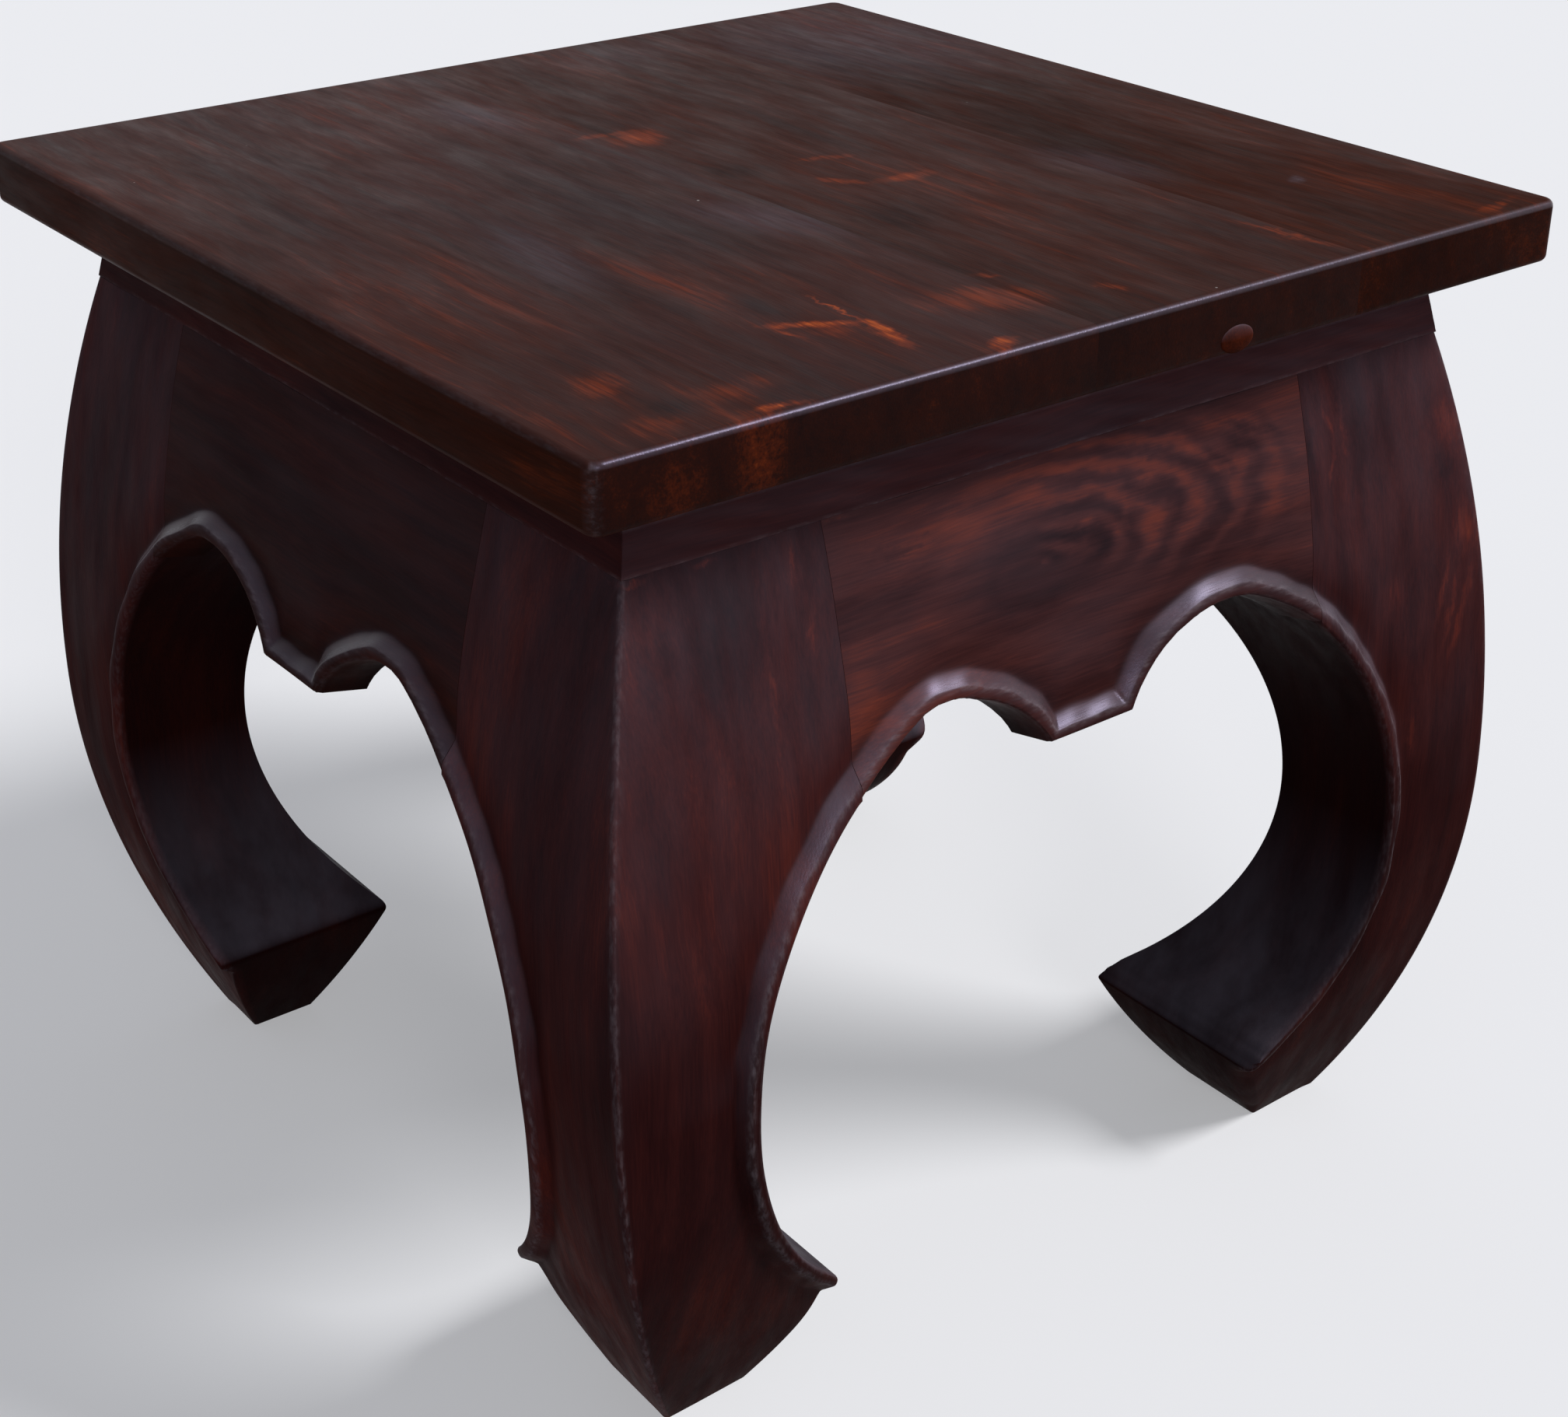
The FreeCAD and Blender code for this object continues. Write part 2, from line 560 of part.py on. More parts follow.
top_screw_holes = turned_group("top_screw_holes", screws_at("top_bore", GAP))
plug_place = ("Sizes.plug_offset", f"-{HALF}", "(Sizes.table_height - Sizes.plug_drop)")
plug_hole = rod("plug_hole", f"Sizes.plug_radius + {GAP}", "Sizes.plug_length", ALONG_Y, *plug_place)
top_holes = group("top_holes", [top_screw_holes, plug_hole])
board_widths = ["Sizes.first_board_width", "Sizes.second_board_width", "Sizes.third_board_width"]
board_start = f"-{HALF}"
for number in range(1, len(board_widths) + 2):
    board_end = f"({board_start} + {board_widths[number - 1]})" if number <= len(board_widths) else HALF
    strip = doc.addObject("Part::Box", f"board_strip_{number}")
    strip.setExpression("Length", f"{board_end} - ({board_start})")
    strip.setExpression("Width", "Sizes.top_width")
    strip.setExpression("Height", "Sizes.top_thickness")
    place(strip, FLAT, board_start, f"-{HALF}", TOP_UNDERSIDE)
    plain_board = join("Common", f"plain_board_{number}", slab, strip)
    keep(join("Cut", f"top_board_{number}", plain_board, top_holes), f"top_board_{number}")
    board_start = board_end

# Plug, dowels and screws
keep(rod("edge_plug", "Sizes.plug_radius", "Sizes.plug_length", ALONG_Y, *plug_place), "edge_plug")
keep(turned_group("apron_dowels", apron_dowels_at("apron_dowel", ZERO, BOTH_ENDS)), "apron_dowels")
keep(turned_group("collar_dowels", collar_dowels_at("collar_dowel", ZERO, BOTH_ENDS)), "collar_dowels")
keep(turned_group("top_screws", screws_at("top_screw", ZERO)), "top_screws")

doc.recompute()
faults = [thing.Label for thing in doc.Objects if {"Invalid", "Error"} & set(thing.State)]
faults += [piece.Label for piece in pieces if piece.Shape.isNull() or not piece.Shape.isValid()]
if faults:
    raise RuntimeError(f"these objects failed: {', '.join(faults)}")
os.makedirs("parts", exist_ok=True)
for piece in pieces:
    piece.Shape.exportStep(f"parts/{piece.Label}.step")
    print(piece.Label, len(piece.Shape.Solids), round(piece.Shape.Volume))
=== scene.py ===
import logging
import math
from dataclasses import dataclass, replace
from enum import Enum
from typing import Any, Optional, Union

import bmesh
import bpy
import numpy as np
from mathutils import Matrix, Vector


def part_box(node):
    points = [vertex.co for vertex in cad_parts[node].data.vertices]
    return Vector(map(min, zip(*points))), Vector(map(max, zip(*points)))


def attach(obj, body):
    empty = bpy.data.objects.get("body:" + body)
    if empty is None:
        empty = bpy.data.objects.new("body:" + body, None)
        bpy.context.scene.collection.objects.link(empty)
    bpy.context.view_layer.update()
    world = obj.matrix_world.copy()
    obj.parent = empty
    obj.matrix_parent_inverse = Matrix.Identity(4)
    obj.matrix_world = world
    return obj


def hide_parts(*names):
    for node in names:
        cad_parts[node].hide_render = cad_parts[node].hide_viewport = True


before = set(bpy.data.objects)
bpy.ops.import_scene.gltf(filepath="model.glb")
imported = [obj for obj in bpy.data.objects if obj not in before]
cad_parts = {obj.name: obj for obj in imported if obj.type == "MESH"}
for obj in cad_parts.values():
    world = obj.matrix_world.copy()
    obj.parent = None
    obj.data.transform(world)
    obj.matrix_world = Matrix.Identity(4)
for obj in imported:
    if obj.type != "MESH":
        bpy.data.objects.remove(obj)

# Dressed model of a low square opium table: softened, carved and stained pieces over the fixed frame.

LOG = logging.getLogger("opium_table")
BODY = "root"
MM = 0.001
MERGE_DISTANCE = 1e-6
SMOOTH_ANGLE = math.radians(35)
# Numbers stored on the vertices of a piece
WEAR = "wear"
# hollow: painted shade, darker on faces inside and under the table, in the groove beside the bead and low on
# the legs
PAINTED_SHADE_KEY = "hollow"
# sheen: shinier lacquer, which also adds a little painted sheen to the colour
SHEEN = "sheen"

Pair = tuple[float, float]
Point = tuple[float, float, float]
Table = tuple[Pair, ...]
Stops = tuple[tuple[float, str], ...]
# Two ends of a spot on a face, half its width and how much lighter it is
Mark = tuple[Pair, Pair, float, float]
# Points of one ring round a piece, and the numbers stored at each of them
Section = tuple[np.ndarray, dict[str, np.ndarray]]
# Turns of a wave along a side, up it and from side to side, and its weight
Wave = tuple[float, float, float, float]
Source = Union[float, bpy.types.Node, bpy.types.NodeSocket]


class Grain(Enum):
    """Direction that the fibres of a piece run in, with a one on that axis."""

    ALONG_X = (1, 0, 0)
    ALONG_Y = (0, 1, 0)
    ALONG_Z = (0, 0, 1)


class Side(Enum):
    """Side of the table, as the direction that it faces."""

    front = (0.0, -1.0)
    right = (1.0, 0.0)
    back = (0.0, 1.0)
    left = (-1.0, 0.0)

    @property
    def out(self) -> Vector:
        """Unit vector out of this side."""
        return Vector((*self.value, 0.0))

    @property
    def along(self) -> Vector:
        """Unit vector along this side, to the right as seen from outside."""
        return Vector((-self.value[1], self.value[0], 0.0))

    @property
    def grain(self) -> Grain:
        """Direction of the fibres of a piece that lies along this side."""
        return Grain.ALONG_X if self.value[0] == 0 else Grain.ALONG_Y

    @property
    def number(self) -> int:
        """Number of this side, which gives its own marks of hand work."""
        return list(Side).index(self)


class Turn(Enum):
    """Axis that a spot on a face is turned about."""

    ABOUT_Y = "Y_AXIS"
    ABOUT_Z = "Z_AXIS"


# Shader nodes


def linear(colour: str) -> tuple[float, float, float, float]:
    """Turn an sRGB hex colour into the linear colour that shader sockets take."""
    channels = [int(colour[place:place + 2], 16) / 255 for place in (1, 3, 5)]
    return tuple(c / 12.92 if c <= 0.04045 else ((c + 0.055) / 1.055) ** 2.4 for c in channels) + (1.0,)


class Nodes:
    """Shader nodes of a material or of the world."""

    def __init__(self, owner: Union[bpy.types.Material, bpy.types.World]) -> None:
        """Start with an empty node tree.

        Args:
            owner: Material or world that takes the nodes.
        """
        owner.use_nodes = True
        self.tree = owner.node_tree
        self.tree.nodes.clear()

    def add(self, kind: str, sockets: Optional[dict] = None, **settings: Any) -> bpy.types.Node:
        """Add a shader node with its settings and links.

        Args:
            kind: Node type without its ShaderNode prefix.
            sockets: Value, output or node to link from, by the name or number of each input.
            settings: Properties of the node; stops fill a colour ramp.

        Returns:
            The new node.
        """
        made = self.tree.nodes.new("ShaderNode" + kind)
        stops = settings.pop("stops", ())
        for name, value in settings.items():
            setattr(made, name, value)
        if stops:
            ramp = made.color_ramp.elements
            while len(ramp) < len(stops):
                ramp.new(1.0)
            for element, (position, colour) in zip(ramp, stops):
                element.position = position
                element.color = linear(colour)
        for key, value in (sockets or {}).items():
            named = (socket for socket in made.inputs if socket.enabled and socket.name == key)
            taker = made.inputs[key] if isinstance(key, int) else next(named)
            if isinstance(value, bpy.types.Node):
                value = next(output for output in value.outputs if output.enabled)
            if isinstance(value, bpy.types.NodeSocket):
                self.tree.links.new(value, taker)
            else:
                taker.default_value = value
        return made


@dataclass(frozen=True)
class Layer:
    """Layer of noise, with its width across the fibres in millimetres and its stretch along them."""

    width: float
    stretch: float
    detail: float = 4.0
    roughness: float = 0.55
    weight: float = 1.0

    def scale(self, grain: Grain) -> Point:
        """Return how often the layer repeats per metre on each axis."""
        return tuple(1.0 / (self.width * MM * (self.stretch if along else 1.0)) for along in grain.value)


@dataclass(frozen=True)
class Patch:
    """Ragged spot of other tone, with its centre and half lengths in millimetres."""

    centre: Point
    half: Point
    lift: float
    axis: Turn = Turn.ABOUT_Z
    angle: float = 0.0


# Half depth of a coloured spot into the wood, in millimetres
SPOT_DEPTH = 12.0


def stroke(mark: Mark, axis: Turn, depth: float) -> Patch:
    """Make a long spot between two places on a face, in millimetres.

    Args:
        mark: Ends, half width and lift of the spot.
        axis: Axis that stands on the face.
        depth: Place of the face along that axis.

    Returns:
        The spot.
    """
    start, end, width, lift = mark
    run = (end[0] - start[0], end[1] - start[1])
    half = math.hypot(*run) / 2
    middle = ((start[0] + end[0]) / 2, (start[1] + end[1]) / 2)
    angle = math.atan2(run[1], run[0])
    if axis is Turn.ABOUT_Z:
        return Patch((*middle, depth), (half, width, SPOT_DEPTH), lift, axis, angle)
    return Patch((middle[0], depth, middle[1]), (half, SPOT_DEPTH, width), lift, axis, -angle)


@dataclass(frozen=True)
class Knot:
    """Knot ringed by dark lines that show most to one side of it, in millimetres."""

    centre: Point
    squash: Point
    # Size of the dark heart, how much further it fades out and how dark it is
    heart: float
    heart_fade: float
    heart_tone: float
    # Rings: how far they reach, where they start to fade, how far apart they are and how strong
    reach: float
    fade: float
    spacing: float
    weight: float
    # Side that the rings show on, how squarely a place lies to it, and how much shows elsewhere
    side: Point
    sector: Pair
    least: float
    unevenness: Layer
    wobble: float


# Spreads of Map Range nodes: what comes in and, where it is the same for every wood, what goes out
NOISE_SPREAD = {"From Min": 0.3, "From Max": 0.7}
CLOUD_SHARES = {"To Min": 0.5, "To Max": 1.5}
END_GRAIN = {"From Min": 0.6, "From Max": 0.95}
FACING_UP = {"From Max": 0.7}
BROKEN_WEAR = {"From Min": 0.45, "From Max": 0.7}
SPOT_EDGE = {"From Min": 1.5, "From Max": 0.1}
SPOT_FILL = {"From Min": 0.35, "From Max": 0.65, "To Min": 0.5, "To Max": 1.35}
SPECK_EDGE = {"From Min": 0.07, "From Max": 0.04}
# Width of the step between cells with and without a speck
SPECK_STEP = 0.01
# Middle of the tones and of noise
MIDDLE = 0.5


@dataclass(frozen=True)
class StainedWood:
    """Indian rosewood, stained dark red and lacquered to a satin; sizes in millimetres.

    The eye gets near-black streaks in red-brown wood, a few orange places where the stain took badly,
    fine open pores along the fibres, and a thin cool sheen, mostly painted into the colour.
    """

    name: str
    grain: Grain
    seed: Point
    stops: Stops
    streaks: tuple[Layer, ...]
    # Bend of the fibres
    warp: Layer = Layer(60.0, 2.5, 2.0, 0.5)
    warp_reach: float = 7.0
    # Growth rings
    ring_way: Point = (0.95, 0.0, 0.3)
    ring_width: float = 9.0
    ring_weight: float = 0.015
    # Open pores
    pores: Layer = Layer(0.7, 28.0, 2.0, 0.6, 0.2)
    pore_depth: float = 0.1
    pore_strength: float = 0.5
    # Spots of other tone, and scuffs of the lacquer and patches of painted sheen, with torn edges and streaks
    # in them
    patches: tuple[Patch, ...] = ()
    scuffs_and_sheen_patches: tuple[Patch, ...] = ()
    tear: Layer = Layer(9.0, 1.0, 5.0, 0.65)
    tear_reach: float = 5.0
    spot_streaks: Layer = Layer(1.8, 14.0, 4.0, 0.6)
    knot: Optional[Knot] = None
    # Thick stain on end grain, and painted shade where a piece stores it: on faces that look in under the
    # table, in the groove beside the bead and low on the legs
    end_shade: float = 0.0
    painted_shade_strength: float = 0.0
    thick_stain_and_painted_shade: str = "#0a0303"
    # Painted sheen: a cool reflection painted into the colour, on faces that look up and on polished places
    painted_sheen_up: float = 0.1
    sheen: float = 0.03
    clouds: Layer = Layer(22.0, 5.0, 4.0, 0.6)
    painted_sheen: str = "#85808f"
    # Stain rubbed thin along the arrises, if they are worn
    worn: bool = True
    wear: str = "#81767c"
    wear_breaks: Layer = Layer(1.6, 3.5, 4.0, 0.6)
    wear_least: float = 0.04
    wear_most: float = 0.24
    # Share of the cells that hold a speck of dust
    dust: float = 0.0
    dust_spacing: float = 9.0
    dust_colour: str = "#a39c9a"
    # Roughness of the lacquer, and how much duller it is in patches
    gloss: float = 0.36
    dull: float = 0.22
    dull_patches: Layer = Layer(9.0, 5.0, 4.0, 0.65)
    # Specular level, and the level and roughness of what hands have polished, if they have
    specular: float = 0.006
    polish: Optional[float] = None
    polished_gloss: float = 0.26
    shine_tint: str = "#d2c8f0"
    refraction: float = 1.5

    def material(self) -> bpy.types.Material:
        """Build the node material of this wood.

        Returns:
            The material.
        """
        made = bpy.data.materials.new(self.name)
        WoodNodes(self, made).draw()
        return made


class WoodNodes(Nodes):
    """Shader nodes of one stained wood."""

    def __init__(self, wood: StainedWood, material: bpy.types.Material) -> None:
        """Find the spot on the object, the way that it faces, and its place among the bent fibres.

        Args:
            wood: Settings of the wood.
            material: Material that takes the nodes.
        """
        super().__init__(material)
        self.wood = wood
        coordinates = self.add("TexCoord")
        self.spot = coordinates.outputs["Object"]
        self.facing = coordinates.outputs["Normal"]
        shifted = self.add("VectorMath", {0: self.spot, 1: wood.seed}, operation="ADD")
        self.place = self.shaken(shifted, wood.warp, wood.warp_reach)

    def draw(self) -> None:
        """Draw the figure of the wood and lay stain and painted shade, painted sheen, wear, dust and lacquer
        over it.
        """
        wood = self.wood
        pores = self.noise(self.place, wood.pores)
        colour = self.add("ValToRGB", {"Fac": self.tone(pores)}, stops=wood.stops)
        polish = self.add("Attribute", attribute_name=SHEEN).outputs["Fac"] if wood.polish else 0.0
        for share, tint in ((self.stain_and_painted_shade_share(), wood.thick_stain_and_painted_shade), (self.painted_sheen_share(polish), wood.painted_sheen),
                            (self.wear_share(), wood.wear), (self.dust_share(), wood.dust_colour)):
            if share is not None:
                colour = self.add("Mix", {"Factor": share, "A": colour, "B": linear(tint)}, data_type="RGBA")
        patchy = self.noise(self.place, wood.dull_patches)
        rough = self.add("MapRange", {"Value": patchy, **NOISE_SPREAD, "To Min": wood.gloss,
                                      "To Max": wood.gloss + wood.dull})
        shine = wood.specular
        if wood.polish:
            rough = self.add("Mix", {"Factor": polish, "A": rough, "B": wood.polished_gloss})
            shine = self.add("MapRange", {"Value": polish, "To Min": wood.specular, "To Max": wood.polish},
                             clamp=False)
        bump = self.add("Bump", {"Strength": wood.pore_strength, "Distance": wood.pore_depth * MM,
                                 "Height": pores})
        lacquer = self.add("BsdfPrincipled", {
            "Base Color": colour, "Roughness": rough, "Normal": bump, "IOR": wood.refraction,
            "Specular IOR Level": shine, "Specular Tint": linear(wood.shine_tint)})
        self.add("OutputMaterial", {"Surface": lacquer})

    def noise(self, place: Source, layer: Layer) -> bpy.types.Node:
        """Add noise stretched along the fibres.

        Args:
            place: Place in metres.
            layer: Width, stretch and detail of the noise.

        Returns:
            The noise, about 0.3 to 0.7.
        """
        spread = self.add("VectorMath", {0: place, 1: layer.scale(self.wood.grain)}, operation="MULTIPLY")
        return self.add("TexNoise", {"Vector": spread, "Scale": 1.0, "Detail": layer.detail,
                                     "Roughness": layer.roughness})

    def shaken(self, place: Source, layer: Layer, reach: float) -> Source:
        """Move places to and fro by noise.

        Args:
            place: Place in metres.
            layer: Noise that moves it.
            reach: Furthest move in millimetres.

        Returns:
            The moved place.
        """
        noise = self.noise(place, layer).outputs["Color"]
        swing = self.add("VectorMath", {0: noise, 1: (2 * reach * MM,) * 3, 2: (-reach * MM,) * 3},
                         operation="MULTIPLY_ADD")
        return self.add("VectorMath", {0: place, 1: swing}, operation="ADD")

    def tone(self, pores: Source) -> Source:
        """Lay streaks, pores, rings, knot and spots over each other.

        Args:
            pores: Noise of the pores.

        Returns:
            The tone, from 0 for black wood to 1 for orange wood.
        """
        wood = self.wood
        turns = tuple(value * math.tau / (wood.ring_width * MM) for value in wood.ring_way)
        across = self.add("VectorMath", {0: self.place, 1: turns}, operation="DOT_PRODUCT")
        rings = self.add("Math", {0: across}, operation="SINE")
        parts = [(self.noise(self.place, layer), layer.weight) for layer in wood.streaks]
        parts.append((pores, wood.pores.weight))
        level = MIDDLE - MIDDLE * sum(weight for _, weight in parts)
        parts.append((rings, wood.ring_weight))
        if wood.knot:
            parts.append((self.knot_tone(wood.knot), 1.0))
        for part, weight in parts:
            level = self.add("Math", {0: part, 1: weight, 2: level}, operation="MULTIPLY_ADD")
        return self.spotted(level, wood.patches)

    def knot_tone(self, knot: Knot) -> Source:
        """Draw the dark heart of a knot and the rings to one side of it.

        Args:
            knot: Sizes of the knot.

        Returns:
            The tone that the knot adds.
        """
        centre = tuple(value * MM for value in knot.centre)
        apart = self.add("VectorMath", {0: self.spot, 1: centre}, operation="SUBTRACT")
        way = self.add("VectorMath", {0: apart, 1: knot.squash}, operation="MULTIPLY")
        length = self.add("VectorMath", {0: way}, operation="LENGTH")
        uneven = self.noise(self.spot, knot.unevenness)
        distance = self.add("Math", {0: uneven, 1: knot.wobble * MM, 2: length}, operation="MULTIPLY_ADD")
        turns = self.add("Math", {0: distance, 1: math.tau / (knot.spacing * MM)}, operation="MULTIPLY")
        rings = self.add("Math", {0: turns}, operation="SINE")
        unit = self.add("VectorMath", {0: way}, operation="NORMALIZE")
        facing = self.add("VectorMath", {0: unit, 1: knot.side}, operation="DOT_PRODUCT")
        low, high = knot.sector
        sector = self.add("MapRange", {"Value": facing, "From Min": low, "From Max": high,
                                       "To Min": knot.least}, interpolation_type="SMOOTHSTEP")
        fade = self.add("MapRange", {"Value": distance, "From Min": knot.reach * MM,
                                     "From Max": knot.fade * MM, "To Max": knot.weight},
                        interpolation_type="SMOOTHSTEP")
        heart = self.add("MapRange", {"Value": distance, "From Min": knot.heart_fade * MM,
                                      "From Max": knot.heart * MM, "To Max": knot.heart_tone},
                         interpolation_type="SMOOTHSTEP")
        lines = self.add("Math", {0: rings, 1: sector}, operation="MULTIPLY")
        return self.add("Math", {0: lines, 1: fade, 2: heart}, operation="MULTIPLY_ADD")

    def spotted(self, start: Source, patches: tuple[Patch, ...]) -> Source:
        """Add ragged, streaky spots to a number.

        Args:
            start: Number to add to.
            patches: Spots to add.

        Returns:
            The number with the lift of each spot on it.
        """
        if not patches:
            return start
        torn = self.shaken(self.spot, self.wood.tear, self.wood.tear_reach)
        total = 0.0
        for patch in patches:
            centre = tuple(value * MM for value in patch.centre)
            sizes = tuple(1.0 / (half * MM) for half in patch.half)
            apart = self.add("VectorMath", {0: torn, 1: centre}, operation="SUBTRACT")
            turned = self.add("VectorRotate", {"Vector": apart, "Angle": -patch.angle},
                              rotation_type=patch.axis.value)
            sized = self.add("VectorMath", {0: turned, 1: sizes}, operation="MULTIPLY")
            distance = self.add("VectorMath", {0: sized}, operation="LENGTH")
            share = self.add("MapRange", {"Value": distance, **SPOT_EDGE, "To Max": patch.lift},
                             interpolation_type="SMOOTHSTEP")
            total = self.add("Math", {0: share, 1: total}, operation="ADD")
        fill = self.add("MapRange", {"Value": self.noise(self.spot, self.wood.spot_streaks), **SPOT_FILL})
        return self.add("Math", {0: total, 1: fill, 2: start}, operation="MULTIPLY_ADD")

    def stain_and_painted_shade_share(self) -> Optional[Source]:
        """Darken the end grain, where the stain is thickest, and paint shade on the faces that look in under
        the table and wherever else a piece stores it.

        Returns:
            Share of the thick stain on end grain, and of the painted shade elsewhere; none if a piece has
            neither.
        """
        wood = self.wood
        if wood.end_shade:
            along = self.add("VectorMath", {0: self.facing, 1: wood.grain.value}, operation="DOT_PRODUCT")
            across = self.add("Math", {0: along}, operation="ABSOLUTE")
            return self.add("MapRange", {"Value": across, **END_GRAIN, "To Max": wood.end_shade})
        if wood.painted_shade_strength:
            deep = self.add("Attribute", attribute_name=PAINTED_SHADE_KEY).outputs["Fac"]
            return self.add("Math", {0: deep, 1: wood.painted_shade_strength}, operation="MULTIPLY")
        return None

    def painted_sheen_share(self, polish: Source) -> Source:
        """Paint a thin cool sheen, which stands in for reflected light, on faces that look up, on polished
        places and in the scuffs.

        Args:
            polish: How polished the place is.

        Returns:
            Share of the painted sheen.
        """
        wood = self.wood
        height = self.add("SeparateXYZ", {0: self.facing}).outputs["Z"]
        painted_sheen = self.add("MapRange", {"Value": height, **FACING_UP, "To Max": wood.painted_sheen_up})
        if wood.polish:
            painted_sheen = self.add("Math", {0: polish, 1: wood.sheen, 2: painted_sheen}, operation="MULTIPLY_ADD")
        cloud = self.noise(self.place, wood.clouds)
        uneven = self.add("MapRange", {"Value": cloud, **NOISE_SPREAD, **CLOUD_SHARES})
        share = self.add("Math", {0: painted_sheen, 1: uneven}, operation="MULTIPLY")
        return self.spotted(share, wood.scuffs_and_sheen_patches)

    def wear_share(self) -> Optional[Source]:
        """Rub the stain thin along the arrises, here and there.

        Returns:
            Share of the pale wear, if there is any.
        """
        wood = self.wood
        if not wood.worn:
            return None
        edge = self.add("Attribute", attribute_name=WEAR).outputs["Fac"]
        breaks = self.noise(self.spot, wood.wear_breaks)
        broken = self.add("MapRange", {"Value": breaks, **BROKEN_WEAR, "To Min": wood.wear_least,
                                       "To Max": wood.wear_most})
        return self.add("Math", {0: edge, 1: broken}, operation="MULTIPLY")

    def dust_share(self) -> Optional[Source]:
        """Scatter a few specks of pale dust.

        Returns:
            Share of the dust, if there is any.
        """
        wood = self.wood
        if not wood.dust:
            return None
        # Specks of half a millimetre, drawn twice as coarse to show in the render
        cells = self.add("TexVoronoi", {"Vector": self.spot, "Scale": 1.0 / (wood.dust_spacing * MM)})
        speck = self.add("MapRange", {"Value": cells.outputs["Distance"], **SPECK_EDGE})
        lot = self.add("SeparateColor", {0: cells.outputs["Color"]})
        chosen = self.add("MapRange", {"Value": lot, "From Min": 1.0 - wood.dust,
                                       "From Max": 1.0 - wood.dust + SPECK_STEP})
        return self.add("Math", {0: speck, 1: chosen}, operation="MULTIPLY")


@dataclass(frozen=True)
class ZincPlate:
    """Zinc-plated steel: grey metal, slightly blotched; sizes in millimetres."""

    name: str = "zinc_plated_steel"
    colour: str = "#b9b7b0"
    roughness: Pair = (0.3, 0.5)
    blotch_width: float = 1.5
    blotch_detail: float = 3.0

    def material(self) -> bpy.types.Material:
        """Build the node material of the zinc.

        Returns:
            The material.
        """
        made = bpy.data.materials.new(self.name)
        nodes = Nodes(made)
        place = nodes.add("TexCoord").outputs["Object"]
        blotch = nodes.add("TexNoise", {"Vector": place, "Scale": 1.0 / (self.blotch_width * MM),
                                        "Detail": self.blotch_detail})
        smooth, dull = self.roughness
        rough = nodes.add("MapRange", {"Value": blotch, "To Min": smooth, "To Max": dull})
        metal = nodes.add("BsdfPrincipled", {"Base Color": linear(self.colour), "Metallic": 1.0,
                                             "Roughness": rough})
        nodes.add("OutputMaterial", {"Surface": metal})
        return made


def backdrop_rays(nodes: Nodes) -> bpy.types.Node:
    """Tell the rays that show the backdrop from those that light the table.

    Args:
        nodes: Nodes of the floor or the world.

    Returns:
        One for rays from the camera, from shiny faces and through glass, and nought for others.
    """
    rays = nodes.add("LightPath").outputs
    seen = nodes.add("Math", {0: rays["Is Camera Ray"], 1: rays["Is Glossy Ray"]}, operation="MAXIMUM")
    return nodes.add("Math", {0: seen, 1: rays["Is Transmission Ray"]}, operation="MAXIMUM")


@dataclass(frozen=True)
class MattPaper:
    """Pale matt paper, which glows a little where it is seen and throws little light back up."""

    name: str = "pale_matt_paper"
    colour: str = "#e6e6e8"
    glow: str = "#f4f4f6"
    glow_share: float = 0.35
    bounce: str = "#9a9a9c"

    def material(self) -> bpy.types.Material:
        """Build the node material of the paper.

        Returns:
            The material.
        """
        made = bpy.data.materials.new(self.name)
        nodes = Nodes(made)
        paper = nodes.add("BsdfDiffuse", {"Color": linear(self.colour)})
        white = nodes.add("Emission", {"Color": linear(self.glow)})
        pale = nodes.add("MixShader", {0: self.glow_share, 1: paper, 2: white})
        dim = nodes.add("BsdfDiffuse", {"Color": linear(self.bounce)})
        mixed = nodes.add("MixShader", {0: backdrop_rays(nodes), 1: dim, 2: pale})
        nodes.add("OutputMaterial", {"Surface": mixed})
        return made


# Colours and streaks of the woods

TOP_STOPS = ((0.22, "#130806"), (0.42, "#23100a"), (0.55, "#33150b"), (0.72, "#642811"), (0.92, "#a04a1c"))
APRON_STOPS = ((0.22, "#190b0c"), (0.42, "#2f1717"), (0.55, "#40201e"), (0.72, "#632c20"), (0.92, "#8d4825"))
LEG_STOPS = ((0.22, "#150808"), (0.42, "#2a1010"), (0.55, "#3a1715"), (0.72, "#572219"), (0.92, "#7a3a1e"))
# Darker copy of the apron colours for the left and right aprons: painted shade
PAINTED_SHADE_STOPS = ((0.22, "#100605"), (0.42, "#220d0a"), (0.55, "#30130e"), (0.72, "#4a1d12"), (0.92, "#6a3016"))
# Oiled end grain of the plug, and pale raw beech of the dowels
PLUG_STOPS = ((0.3, "#150806"), (0.5, "#43190c"), (0.7, "#6d2f14"))
BEECH_STOPS = ((0.2, "#a98457"), (0.5, "#c4a070"), (0.8, "#d8ba8c"))
TOP_STREAKS = (Layer(60.0, 3.0, 3.0, weight=0.35), Layer(14.0, 9.0, 3.0, weight=0.2),
               Layer(2.6, 26.0, 4.0, 0.6, 0.22))
STREAKS = (Layer(48.0, 3.0, 3.0, weight=0.55), Layer(14.0, 9.0, 3.0, weight=0.24),
           Layer(3.0, 26.0, 4.0, 0.6, 0.15))
# Directions across the growth rings of a piece, by its grain
RING_WAYS = {Grain.ALONG_X: (0.0, 0.3, 0.95), Grain.ALONG_Y: (0.3, 0.0, 0.95), Grain.ALONG_Z: (0.8, 0.6, 0.0)}
# Offset of the first piece in the tree, and of each further one, in metres
SEED_START = (0.0, 0.6, 0.0)
SEED_STEP = (1.7, 2.3, 0.9)


def seed_of(number: int) -> Point:
    """Return an offset in metres that gives a piece its own part of the tree."""
    return tuple(start + step * number for start, step in zip(SEED_START, SEED_STEP))


# Shapes


